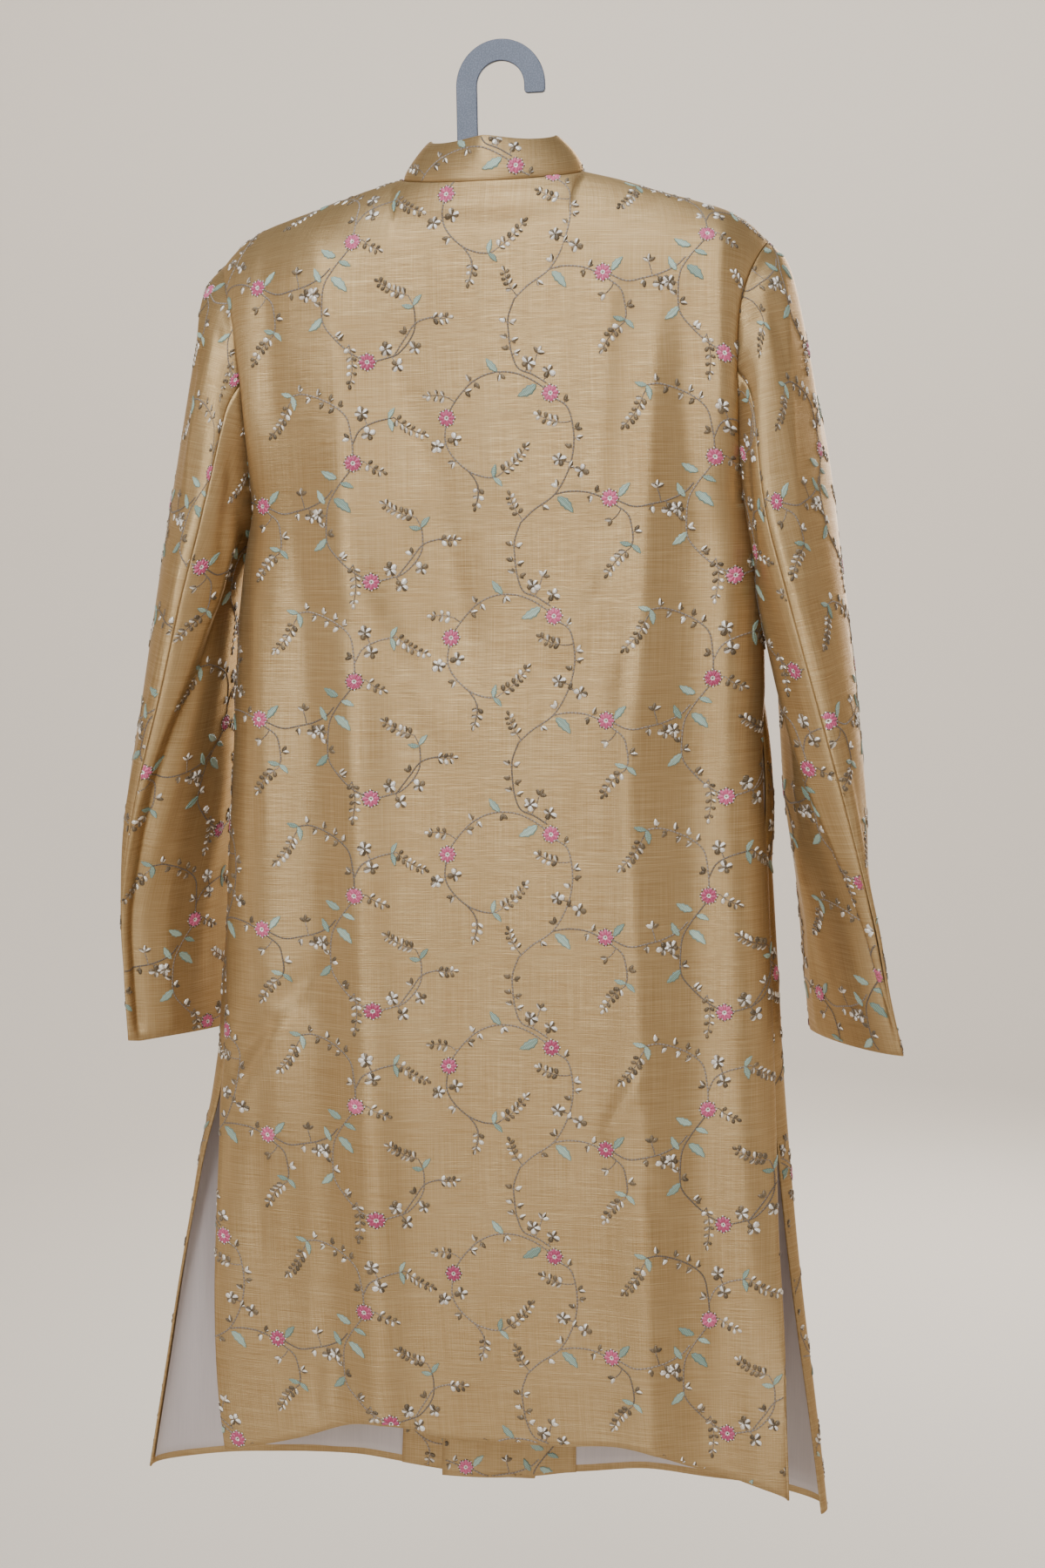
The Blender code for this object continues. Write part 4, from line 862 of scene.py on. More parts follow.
def tube(name, line, radius, sides, material):
    """A round cord along a line of places."""
    along = unit(np.gradient(line, axis=0))
    beside = unit(np.cross(along, np.array([0.3, 0.2, 0.9])))
    above = np.cross(along, beside)
    angle = round_angles(sides)
    ring = beside[:, None] * np.cos(angle)[:, None] + above[:, None] * np.sin(angle)[:, None]
    radii = np.full(len(line), radius)
    radii[[0, -1]] = radius * 0.35
    verts = (line[:, None] + ring * radii[:, None, None]).reshape(-1, 3)
    quads = grid_faces(len(line), sides, closed=True)[:, [0, 3, 2, 1]]
    start = np.arange(sides)
    caps = np.array([start[::-1], start + (len(line) - 1) * sides])
    uv = np.stack([np.repeat(arc(line), sides), np.tile(angle * radius, len(line))], axis=1)
    return make_mesh(name, verts, [quads, caps], uv, [material])


# ---------------------------------------------------------------- embroidery, in millimetres on the cloth
CELL = (290.0, 175.0)
REACH = (290, 265, 15)  # how far a repeat's motifs reach across, down and up from its corner
STEM, MINT, PINK, PALE, BROWN, SILVER, DARK_PLY_AND_RIM_SHADE, LEAF_EDGE, MIXED, SHADED_HALF = range(10)
MIXED_DARK, SHADED_HALF_SHARE = 0.42, 0.84  # how many petals are brown on their first half, and how many are painted brown as shade on their second
# threads: darkest and lightest colour, roughness and metallic
THREAD_LOOKS = (
    ("stem", (74, 64, 56), (170, 158, 148), 0.34, 0.35),
    ("mint", (92, 120, 106), (188, 208, 192), 0.32, 0.10),
    ("pink", (152, 38, 80), (224, 110, 148), 0.32, 0.10),
    ("pale", (206, 190, 172), (255, 250, 240), 0.32, 0.50),
    ("brown", (64, 52, 36), (132, 112, 84), 0.30, 0.30),
    ("silver", (212, 200, 190), (255, 252, 246), 0.24, 0.25),
    # the outline thread is painted shade on a petal's shaded rim, and the darker ply of a cord, where it
    # partly paints the shade between the twists
    ("outline", (84, 68, 50), (142, 120, 96), 0.38, 0.2),
    ("leaf_edge", (78, 100, 92), (140, 162, 148), 0.40, 0.05),
)
# one repeat's stems, each as places that its curve passes: across from the first bloom, then down
STEMS = (
    ((83, 146), (76, 155), (69, 164), (62, 176), (60, 192), (61, 207), (70, 219), (82, 230), (94, 237)),
    ((83, 140), (83, 131), (82, 121), (79, 107), (70, 98), (56, 91), (42, 87), (32, 88)),
    ((83, 128), (89, 117), (100, 111), (112, 108)),
    ((4, 1), (19, 7), (33, 5), (46, 2), (59, -4), (66, -11)),
    ((4, 5), (14, 13), (17, 23), (18, 32), (17, 37)),
    ((100, 63), (112, 60), (121, 57), (130, 49), (136, 39), (137, 28), (136, 20)),
    ((116, 60), (128, 45), (137, 34), (149, 30), (162, 29)),
    ((242, 89), (228, 80), (214, 75), (198, 75), (183, 81), (171, 92), (162, 104)),
    ((159, 113), (158, 128), (164, 140), (176, 151), (188, 156), (197, 157)),
    ((176, 151), (182, 159), (184, 168), (182, 178)),
    ((248, 96), (258, 103), (262, 118), (262, 135), (257, 153), (246, 171), (229, 183), (218, 193)),
    ((218, 193), (213, 207), (213, 220), (215, 235), (220, 247), (231, 252), (242, 259)),
    ((246, 171), (258, 169), (272, 170), (284, 174)),
)
# across, down, angle, length
LEAVES = (
    (70, 155, 155, 15), (73, 159, -20, 11), (67, 171, -40, 18), (59, 175, 120, 13), (60, 203, -140, 15),
    (7, -1, 50, 14), (17, 37, 165, 10), (17, 37, -45, 10), (32, 88, 165, 10), (32, 88, -80, 12),
    (112, 108, 60, 10), (112, 108, -75, 11), (136, 20, 50, 11), (136, 21, 170, 10), (203, 74, 130, 14),
    (234, 85, -150, 18), (197, 157, 80, 11), (197, 157, -45, 10), (248, 173, -45, 18),
)
# a short stalk with petals in pairs: across, down, angle, length, pairs
CHAINS = (
    (15, 40, -130, 26, 5), (29, 95, -125, 29, 6), (116, 107, -30, 29, 6), (132, 12, 155, 28, 6),
    (203, 154, 45, 30, 6), (82, 49, -90, 32, 5), (149, 30, 0, 16, 3), (184, 162, -100, 18, 3),
    (92, 142, -30, 17, 3), (253, 115, 160, 20, 4), (162, 93, 175, 18, 3), (218, 188, 115, 19, 4),
)
BLOOMS = (
    (0, 0), (83, 143), (96, 63), (160, 109), (245, 92),
)
SMALL_BLOOMS = (
    (46, 10), (111, 53), (120, 66), (151, 131), (166, 126), (228, 68), (244, 75), (91, 104), (96, 120),
    (250, 144), (268, 153), (53, 184), (136, 53),
)
# across, down, angle, petals
BUDS = (
    (37, -6, 90, 3), (34, 12, -100, 1), (24, 26, 0, 2), (3, 16, -150, 2), (76, 96, 80, 1), (69, 88, 80, 1),
    (68, 101, -120, 1), (57, 86, 100, 1), (59, 97, -110, 1), (48, 93, -130, 1), (40, 84, 110, 1),
    (74, 125, 180, 2), (129, 42, 150, 2), (205, 81, -70, 2), (187, 86, -80, 1), (178, 92, -20, 2),
    (160, 148, -110, 2), (267, 121, 20, 2), (257, 98, 60, 1), (244, 162, 150, 2), (280, 168, 60, 1),
    (274, 177, -90, 1), (55, 19, 150, 1), (63, 25, -10, 2), (72, 42, -10, 1), (75, 219, 10, 1),
    (208, 211, 170, 1), (217, 212, 10, 1), (208, 224, 175, 1), (218, 226, 0, 1), (210, 233, 180, 1),
    (219, 235, -10, 1), (235, 62, 60, 3), (258, 135, 170, 1), (236, 180, -60, 1), (264, 128, -10, 1),
    (179, 80, 120, 1), (258, 152, 190, 1),
)


def spline(points, step=1.5):
    """A smooth line through places, with a point every step."""
    points = np.array(points, float) * np.array([1.0, -1.0])
    ends = [2 * points[0] - points[1], *points, 2 * points[-1] - points[-2]]
    dense = []
    for a, b, c, d in zip(ends, ends[1:], ends[2:], ends[3:]):
        for t in np.arange(10) / 10:
            curved = (2 * a - 5 * b + 4 * c - d) * t**2 + (3 * b - a - 3 * c + d) * t**3
            dense.append(0.5 * (2 * b + (c - a) * t + curved))
    dense = np.array(dense + [points[-1]])
    run = arc(dense)
    places = np.linspace(0.0, run[-1], max(3, int(round(run[-1] / step)) + 1))
    return np.stack([np.interp(places, run, dense[:, 0]), np.interp(places, run, dense[:, 1])], axis=1)


PARTS = []


def add(verts, tris, uv, thread):
    """Add a shape (right, up, off the cloth) to the repeat, with its thread coordinates and threads."""
    start = sum(len(part[0]) for part in PARTS)
    items = np.full(len(verts), len(PARTS))
    PARTS.append((verts, tris + start, uv, np.broadcast_to(thread, len(tris)), items))


def add_placed(shape, across, down, angle, thread):
    verts, tris = shape
    turn = math.radians(angle)
    x = across + verts[:, 0] * math.cos(turn) - verts[:, 1] * math.sin(turn)
    y = -down + verts[:, 0] * math.sin(turn) + verts[:, 1] * math.cos(turn)
    add(np.stack([x, y, verts[:, 2]], axis=1), tris, verts[:, :2], thread)


def add_cord(line, half, height, thread=(STEM, DARK_PLY_AND_RIM_SHADE)):
    """A twisted cord laid along a line: a low ridge whose crest swings and whose plies take turns in a
    lighter and a darker thread, which also paints the glint and the shade along the twist.
    """
    along = unit(np.gradient(line, axis=0))
    beside = np.stack([-along[:, 1], along[:, 0]], axis=1)
    even = np.arange(len(line)) % 2 == 0
    swing = np.where(even, 0.30, -0.30)[:, None] * half
    rows = []
    for way, top in ((half, 0.0), (swing, np.where(even, 1.0, 0.8)), (-half, 0.0)):
        lift = np.broadcast_to(height * top, len(line))
        rows.append(np.concatenate([line + beside * way, lift[:, None]], axis=1))
    verts = np.stack(rows, axis=1).reshape(-1, 3)
    tris = grid_faces(len(line), 3)[:, [0, 3, 2, 0, 2, 1]].reshape(-1, 3)
    uv = np.stack([np.repeat(arc(line), 3), np.tile([0.0, half, 2 * half], len(line))], axis=1)
    add(verts, tris[:, ::-1], uv, np.resize(np.repeat(thread, 4), len(tris)))


def dome(length, width, height, sides, taper, base=0.0):
    """A padded satin-stitch petal whose narrow end points along +x and whose foot is at x = base."""
    angle = round_angles(sides)
    x = length / 2 * (1 + np.cos(angle)) + base
    y = width / 2 * np.sin(angle) * (1 - taper * np.cos(angle))
    centre = x.mean()
    rim = np.stack([x, y, np.zeros(sides)], axis=1)
    ring = np.stack([centre + (x - centre) * 0.84, y * 0.84, np.full(sides, height * 0.66)], axis=1)
    quads = grid_faces(2, sides, closed=True)
    top = np.stack([quads[:, 1], quads[:, 2], np.full(sides, 2 * sides)], 1)
    verts = np.concatenate([rim, ring, [[centre, 0.0, height]]])
    return verts, np.concatenate([quads[:, [0, 3, 2]], quads[:, [0, 2, 1]], top])


def small_petal(length, width, taper=-0.20, base=0.5):
    return dome(length, width, 0.9, 8, taper, base)


def add_petal(shape, across, down, angle, first=MIXED):
    """A petal whose first half takes its own thread and whose second half is painted as its shade: a dark rim
    all along it, and a top that is mostly brown.
    """
    sides = len(shape[1]) // 3
    second = np.arange(sides) >= sides / 2
    rim = np.where(second, DARK_PLY_AND_RIM_SHADE, first)
    add_placed(shape, across, down, angle, np.concatenate([rim, rim, np.where(second, SHADED_HALF, first)]))


# a leaf's section from edge to edge: share of its half width, and height in millimetres
LEAF_SECTION = ((1, 0.0), (0.72, 0.6), (0.38, 0.8), (0, 0.15), (-0.38, 0.8), (-0.72, 0.6), (-1, 0.0))


def add_leaf(across, down, angle, length):
    """A leaf of two padded halves with a sunk vein and a softly toothed edge."""
    stations = 9
    s = np.linspace(0.0, 1.0, stations)
    teeth = np.where(np.arange(stations) % 2 == 0, 0.84, 1.1)
    half = 0.215 * length * np.sin(math.pi * s**0.85) ** 0.8 * teeth
    bend = 0.05 * length * np.sin(math.pi * s)
    rows = []
    for offset, height in LEAF_SECTION:
        rows.append(np.stack([s * length, bend + half * offset, np.full(stations, height)], axis=1))
    quads = grid_faces(len(rows), stations).reshape(-1, stations - 1, 4)[[0, 5, 1, 2, 3, 4]]
    tris = quads[..., [1, 2, 3, 1, 3, 0]].reshape(-1, 3)
    threads = np.where(np.arange(len(tris)) < len(tris) / 3, LEAF_EDGE, MINT)
    add_placed((np.concatenate(rows), tris), across, down, angle, threads)


def add_bloom(across, down, radius, petals, height):
    """A flower of padded petals round a hollow, with an outline of cord."""
    count = petals * 6
    angle = round_angles(count)
    petal = np.abs(np.cos(angle * petals / 2))
    edge = radius * (0.76 + 0.24 * petal**0.6)
    section = ((0.12, 0.30), (0.28, 0.95), (0.80, 0.85), (1.0, 0.0))
    verts = [[[0.0, 0.0, height * 0.4]]]
    for share, rise in section:
        lift = height * rise * (0.30 + 0.70 * petal)
        verts.append(np.stack([edge * share * np.cos(angle), edge * share * np.sin(angle), lift], axis=1))
    quads = grid_faces(len(section), count, closed=True, start=1)
    hub = np.stack([np.zeros(count, int), quads[:count, 0], quads[:count, 3]], axis=1)
    tris = np.concatenate([hub, quads[:, [0, 1, 2, 0, 2, 3]].reshape(-1, 3)])
    threads = np.repeat((BROWN, SILVER, PINK), (count, 2 * count, 4 * count))
    add_placed((np.concatenate(verts), tris), across, down, 10.0 * (across % 4), threads)
    outline = np.stack([across + edge * 1.03 * np.cos(angle), -down + edge * 1.03 * np.sin(angle)], axis=1)
    add_cord(np.concatenate([outline, outline[:1]]), 0.55, 0.7, (SILVER, BROWN, BROWN))


def nearest_stem(across, down):
    """The nearest place on any stem of the repeat or of its neighbours."""
    off = np.linalg.norm(STEM_PLACES - np.array([across, -down]), axis=1)
    return STEM_PLACES[off.argmin()], off.min()


def add_stalk(across, down, longest):
    """A thin stalk from the nearest stem."""
    place, gap = nearest_stem(across, down)
    if 1.0 < gap < longest:
        middle = ((place[0] + across) / 2 + 0.4, (-place[1] + down) / 2 + 0.4)
        add_cord(spline([(place[0], -place[1]), middle, (across, down)]), 0.48, 0.4)


def add_small_bloom(number, across, down):
    """An open flower of four or five petals with a dark heart."""
    add_stalk(across, down, 20.0)
    petals = 4 + number % 2
    for k in range(petals):
        turn = 360.0 * k / petals + 25 * number
        size = 4.9 + 0.5 * ((k + number) % 3)
        petal = small_petal(size, size * 0.86, -0.25)
        add_petal(petal, across, down, turn, BROWN if k == 1 else SILVER)
    add_placed(dome(2.2, 2.2, 1.1, 6, 0.0, -1.1), across, down, 0.0, BROWN)


def add_chain(number, across, down, angle, length, pairs):
    turn = math.radians(angle)
    bow = (1 if number % 2 else -1) * 0.07 * length

    def at(t):
        side = bow * math.sin(math.pi * t)
        x = across + length * t * math.cos(turn) - side * math.sin(turn)
        return x, down - length * t * math.sin(turn) - side * math.cos(turn)

    add_cord(spline([at(t) for t in np.linspace(0.0, 1.0, 5)]), 0.40, 0.4)
    add_stalk(across, down, 20.0)
    for k in range(pairs):
        t = (k + 0.6) / (pairs + 0.2)
        for way in (1, -1):
            size = 5.4 - 1.3 * t + 0.5 * ((3 * k + way + number) % 3 - 1)
            slant = way * (50 + 8 * ((k + number) % 3))
            add_petal(small_petal(size, size * 0.70), *at(t), angle + slant)
    add_petal(small_petal(4.6, 3.0, base=-0.6), *at(1.0), angle)


def add_bud(across, down, angle, petals):
    """Petals on a short stalk that leaves the nearest stem and slants upwards with it."""
    place, gap = nearest_stem(across, down)
    turn = math.radians(angle)
    if gap < 9.0:
        away = unit(np.array([across - place[0], -down - place[1]]) + 1e-6)
        lean = unit(away * 0.8 + np.array([math.cos(turn), math.sin(turn)]) * 0.5 + np.array([0.0, 0.45]))
        turn = math.atan2(lean[1], lean[0])
        across, down = place[0], -place[1]
    else:
        add_stalk(across, down, 16.0)
    root = (across + 2.2 * math.cos(turn), down - 2.2 * math.sin(turn))
    add_cord(spline([(across, down), root]), 0.42, 0.4)
    for k in range(petals):
        spread = (k - (petals - 1) / 2) * 66
        add_petal(small_petal(6.0, 3.5, 0.30, -0.3), *root, math.degrees(turn) + spread)
    if petals == 1:
        add_petal(dome(4.0, 2.2, 0.7, 6, 0.30, -0.3), *root, math.degrees(turn) - 55)


def one_repeat():
    for points in STEMS:
        add_cord(spline(points), 0.66, 0.6)
    for leaf in LEAVES:
        add_leaf(*leaf)
    for number, chain in enumerate(CHAINS):
        add_chain(number, *chain)
    for bud in BUDS:
        add_bud(*bud)
    for number, place in enumerate(SMALL_BLOOMS):
        add_small_bloom(number, *place)
    for place in BLOOMS:
        add_bloom(*place, 6.8, 8, 1.0)
    return [np.concatenate(part) for part in zip(*PARTS)]


def embroider(name, sheet, phase, clearance=0.0001):
    """Lay the repeat over a whole sheet and cut it off at the sheet's edges."""
    verts, tris, uv, kinds, items = REPEAT
    low, high, top, bottom = sheet.across.min(), sheet.across.max(), sheet.down.min(), sheet.down.max()
    first_k = math.floor((low * 1000 - phase[0] - REACH[0]) / CELL[0])
    last_k = math.ceil((high * 1000 - phase[0]) / CELL[0])
    first_m = math.floor((top * 1000 - phase[1] - REACH[1]) / CELL[1])
    last_m = math.ceil((bottom * 1000 - phase[1] + REACH[2]) / CELL[1])
    laid = []
    count = 0
    for m in range(first_m, last_m + 1):
        for k in range(first_k, last_k + 1):
            across = (verts[:, 0] + phase[0] + k * CELL[0]) / 1000
            down = (-verts[:, 1] + phase[1] + m * CELL[1]) / 1000
            near = (across > low) & (across < high) & (down > top) & (down < bottom)
            used = near[tris].all(axis=1)
            keep = np.zeros(len(verts), bool)
            keep[tris[used]] = True
            if not keep.any():
                continue
            places, inside = sheet.lay(across[keep], down[keep], verts[keep, 2] / 1000 + clearance)
            whole = np.zeros(len(verts), bool)
            whole[np.flatnonzero(keep)[inside]] = True
            used &= whole[tris].all(axis=1)
            chance = np.random.default_rng([m + 40, k + 40, len(name)])
            tone = chance.uniform(0.0, 1.0, items.max() + 1)
            dark = chance.uniform(0.0, 1.0, items.max() + 1)[items[tris[used][:, 0]]]
            kind = kinds[used]
            kind = np.where(kind == MIXED, np.where(dark < MIXED_DARK, BROWN, PALE), kind)
            # a petal's second half is painted shade: brown on most petals, pale on the rest
            kind = np.where(kind == SHADED_HALF, np.where(dark < SHADED_HALF_SHARE, BROWN, PALE), kind)
            renumber = np.cumsum(keep) - 1
            laid.append((places, renumber[tris[used]] + count, uv[keep], kind, tone[items[keep]]))
            count += int(keep.sum())
    verts, tris, uv, kinds, tone = [np.concatenate(part) for part in zip(*laid)]
    used = np.zeros(len(verts), bool)
    used[tris] = True
    renumber = np.cumsum(used) - 1
    return make_mesh(name, verts[used], [renumber[tris]], uv[used], THREADS, kinds, tone[used])


# ---------------------------------------------------------------- the coat's pieces
SILK = raw_silk()
SATIN = satin_lining()
THREADS = [thread_finish(*look) for look in THREAD_LOOKS]
NEIGHBOURS = np.array([(CELL[0] * i, CELL[1] * j) for i in (-1, 0, 1) for j in (-1, 0, 1)])
STEM_PLACES = np.concatenate([spline(points, 1.0) for points in STEMS])
STEM_PLACES = (STEM_PLACES[None] + NEIGHBOURS[:, None]).reshape(-1, 2)
REPEAT = one_repeat()


def sew(node, sheet, inner, flip, phase=None, mask=None):
    """Make a node's cloth: embroidered silk where a phase is given, else satin."""
    if phase:
        materials = [SILK] if mask is None else [SILK, SATIN]
        piece = wall(node + "_silk", sheet, inner, flip, materials, mask)
        trims = [embroider(node + "_embroidery", sheet, phase)]
    else:
        piece = wall(node + "_satin", sheet, inner, flip, [SATIN])
        trims = []
    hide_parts(node)
    a, b = sheet.points[1:, 1:] - sheet.points[:-1, :-1], sheet.points[1:, :-1] - sheet.points[:-1, 1:]
    area = float(np.linalg.norm(np.cross(a, b), axis=2).sum() / 2)


def seam_directions(side, angle, outwards):
    """Directions of the walls round an armhole: shared above, apart under the arm by outwards (1 or -1)."""
    rise = np.clip(np.sin(angle), 0.0, None)
    upper = unit(stack(side * 0.45 * rise, -np.cos(angle), 0.9 * rise))
    lower = unit(stack(side * outwards * np.abs(np.sin(angle)), -np.cos(angle), 0.0 * angle))
    return np.where((np.sin(angle) < -1e-6)[:, None], lower, upper)


def sink(away, depth, reach):
    """How far cloth sinks at a distance from a seam."""
    return depth * np.exp(-np.abs(away) / reach)


def roll_edges(sheet, columns, depth, reach):
    """Sink the cloth along its seams, as a sewn edge does."""
    lift = np.zeros(sheet.across.shape)
    for column in columns:
        lift -= sink(sheet.across - sheet.across[:, column : column + 1], depth, reach)
    return lift - sink(sheet.down - sheet.down[0:1], depth, reach)


def inner_mask(sheet, hem, sides=(), first_row=0):
    """Where a piece's inner side shows its lining: all but a band of its own silk at the hem and sides."""
    mask = np.where((sheet.down[-1:] - sheet.down)[:-1, :-1] < hem, 0, 1)
    for column in sides:
        away = np.abs(sheet.across - sheet.across[:, column : column + 1])[first_row:-1, :-1]
        mask[first_row:][away < SLIT_TURNING] = 0
    return mask


def shape_panel(sheet, lift, seams, facing, outs):
    """Crease a panel, part it from its neighbours, and give the directions of its wall.

    They are its normals, apart from the seams, where neighbours meet squarely.
    """
    z = sheet.points[..., 2]
    columns = [column for _, column in seams]
    sheet.lift(lift * ease((z[0:1] - z) / 0.02) + roll_edges(sheet, columns, *PANEL_SINK))
    sheet.points[: SKIRT_TOP + 1, columns, 1] += facing * GAP / 2
    shoulder = outs > NECK_HALF - 1e-6
    sheet.points[0, shoulder, 1] += facing * GAP / 2
    directions = sheet.normals.copy()
    angle = np.arcsin(np.clip(1 - 2 * ARM_DROPS[:, 0], -1.0, 1.0))
    if facing > 0:
        angle = math.pi - angle
    for side, column in seams:
        directions[: ARM_ROWS + 1, column] = seam_directions(side, angle, 1)
        directions[ARM_ROWS + 1 : SKIRT_TOP + 1, column] = (side, 0.0, 0.0)
    rise = np.clip(np.where(shoulder, 1.0, (np.clip(outs, 0.0, None) / NECK_HALF) ** 3), 0.0, 1.0)[:, None]
    level = directions[0] * np.array([1.0, 1.0, 0.0])
    level = level / np.maximum(np.linalg.norm(level, axis=1, keepdims=True), 1e-9)
    directions[0] = unit(level * (1 - rise) + np.array([0.0, 0.0, 1.0]) * rise)
    return directions


def make_back():
    points = panel_points(back_arm, back_skirt, BACK_HEM, BACK_SHARES[None], BACK_SHARES[None])
    last = len(BACK_SHARES) - 1
    sheet = new_sheet(points, False, ARM_ROWS, (last + 1) // 2, -UNDERARM_Z)
    x, z = points[..., 0], points[..., 2]
    lift = crease_lift(BACK_CREASES, x, z) + ripple(x, z, 4, *PANEL_RIPPLE) + press_lift(BACK_PRESSES, z, x)
    directions = shape_panel(sheet, lift, ((-1, 0), (1, last)), -1, np.abs(BACK_SHARES) * SHOULDER_HALF)
    mask = inner_mask(sheet, HEM_TURNING, (0, last), SKIRT_TOP)
    sew("back", sheet, sheet.points - WALL * directions, False, (102, 351), mask)
    return sheet.points - (WALL + GAP) * directions


def make_front(side):
    arm, skirt = partial(front_arm, side), partial(front_skirt, side)
    points = panel_points(arm, skirt, FRONT_HEM, FRONT_OUTS[None], FRONT_OUTS[None] / SHOULDER_HALF)
    sheet = new_sheet(points, side < 0, ARM_ROWS, SIDE_COLUMNS + NECK_COLUMNS, -UNDERARM_Z)
    x, z = points[..., 0], points[..., 2]
    out = side * (x - MIDDLE.front(z))
    lift = crease_lift(FRONT_CREASES, out, z) + ripple(x, z, 7 + side, *PANEL_RIPPLE)
    directions = shape_panel(sheet, lift * ease((out - 0.045) / 0.03), ((side, 0),), 1, FRONT_OUTS)
    mask = inner_mask(sheet, 0.0)
    mask[SKIRT_TOP:] = 0
    phase = (-150, 351) if side < 0 else (60, 300)
    sew("front_" + NAMES[side], sheet, sheet.points - WALL * directions, side < 0, phase, mask)
    inside = sheet.points - (WALL + GAP) * directions
    make_facing(side, sheet, inside, directions)
    make_lining(side, sheet, inside, directions)
    return inside


def make_facing(side, sheet, inside, directions):
    """The silk turned in along the front edge, right side towards the back."""
    part = (slice(SKIRT_TOP, None), slice(FACING_COLUMN, None))
    seen = inside[part] - FACING_WALL * directions[part]
    facing = Sheet(seen, -directions[part], -sheet.across[part], sheet.down[part], -sheet.sign)
    name, phase = NAMES[side], (52 if side < 0 else -20, 330)
    sew("facing_" + name, facing, inside[part], side > 0, phase)


def make_lining(side, sheet, inside, directions):
    """The satin behind the skirt, loose between its seams."""
    away = np.abs(sheet.across[SKIRT_TOP:] - sheet.across[SKIRT_TOP:, 0:1]).min(axis=0)
    first = int(np.argmax(away > LINING_START))
    from_hem = (sheet.down[-1:] - sheet.down).max(axis=1)
    last = int(np.argmax(from_hem[SKIRT_TOP:] < HEM_BAND)) + SKIRT_TOP
    part = (slice(SKIRT_TOP, last + 1), slice(first, FACING_COLUMN + 1))
    across, down = sheet.across[part], sheet.down[part]
    low, high = across.min(), across.max()
    folds = 0.0
    for place, width, depth, lean in LINING_FOLDS:
        middle = low + (high - low) * place + lean * (down - down.min())
        folds = folds + depth * 0.001 * np.exp(-(((across - middle) / width) ** 2))
    edge = np.minimum(np.abs(across - across[:, :1]), np.abs(across - across[:, -1:]))
    lift = ease(edge / 0.03) * ease((down.max() - down) / 0.05) * folds
    seen = inside[part] - (LINING_WALL + lift[..., None]) * directions[part]
    lining = Sheet(seen, -directions[part], across, down, sheet.sign)
    inner = seen + LINING_WALL * directions[part]
    sew("lining_" + NAMES[side], lining, inner, side > 0)


def make_sleeve(side):
    run = (np.arange(SLEEVE_ROWS + 1)[:, None] / SLEEVE_ROWS) ** 1.25
    for part, first, last, phase in SLEEVE_PIECES[side]:
        count = round(SLEEVE_COLUMNS * (last - first) / 360)
        angle = np.radians(first + (last - first) * np.arange(count + 1) / count)[None, :]
        points = sleeve_points(side, run, angle)
        sheet = new_sheet(points, side < 0, SLEEVE_ROWS, (count + 1) // 2, SLEEVE_DOWN)
        degrees, runs = np.broadcast_arrays(np.degrees(angle), run)
        lift = sleeve_crease_lift(degrees, runs) + ripple(sheet.across, sheet.down, 21 + side, *SLEEVE_RIPPLE)
        lift = lift + press_lift(SLEEVE_PRESSES[side], runs, degrees, 360.0)
        lift = lift * ease(runs / 0.04) * ease((1 - runs) / 0.02)
        sheet.lift(lift + roll_edges(sheet, (0, count), *SLEEVE_SINK))
        directions = sheet.normals.copy()
        directions[0] = seam_directions(side, angle[0], -1)
        node, inner = "sleeve_%s_%s" % (NAMES[side], part), sheet.points - WALL * directions
        sew(node, sheet, inner, side < 0, phase, inner_mask(sheet, CUFF_TURNING))


def make_collar():
    """The stand collar, from its top edge down to the neckline."""
    outs = NECK_HALF * np.sin(NECK_TURNS[:-1])
    zero = np.zeros_like(outs)
    shares = BACK_SHARES[np.abs(BACK_SHARES) * SHOULDER_HALF < NECK_HALF + 1e-6]
    back = back_arm(shares, np.zeros_like(shares))
    base = np.concatenate([front_arm(-1, outs, zero), back, front_arm(1, outs[::-1], zero)])
    middle = np.array([float(MIDDLE.back(NECK_Z)), 0.0, 0.0])
    radial = unit((base - middle) * np.array([1.0, 1.0, 0.0]))
    lean = COLLAR_LEAN_END + (COLLAR_LEAN_SIDE - COLLAR_LEAN_END) * np.abs(radial[:, 0])
    run = arc(base)
    from_end = np.minimum(run, run[-1] - run)
    tall = 1 - COLLAR_END_DROP * (1 - np.clip(from_end / COLLAR_END_ROUND, 0.0, 1.0)) ** 2
    t = np.linspace(1.0, 0.0, COLLAR_ROWS + 1)[:, None] * tall
    out = COLLAR_BELLY * np.sin(math.pi * t) - lean * t**COLLAR_LEAN_CURVE
    points = base + radial * out[..., None]
    points[..., 2] += GAP + np.sqrt(COLLAR_HEIGHT**2 - lean**2) * t
    points[:, 0, 0] -= COLLAR_END_REACH
    points[:, -1, 0] += COLLAR_END_REACH
    flip = (outward(points, False) * radial).sum() < 0
    sheet = new_sheet(points, flip, COLLAR_ROWS, len(base) // 2)
    wave = COLLAR_WAVE * np.sin(sheet.across * COLLAR_WAVES) * np.sin(math.pi * t)
    seam = sink(sheet.down - sheet.down[-1:], *COLLAR_SEAM_SINK)
    sheet.lift(wave - seam - sink(sheet.down - sheet.down[:1], *COLLAR_TOP_SINK))
    sew("collar", sheet, sheet.points - COLLAR_WALL * radial, flip, (-218, -102))


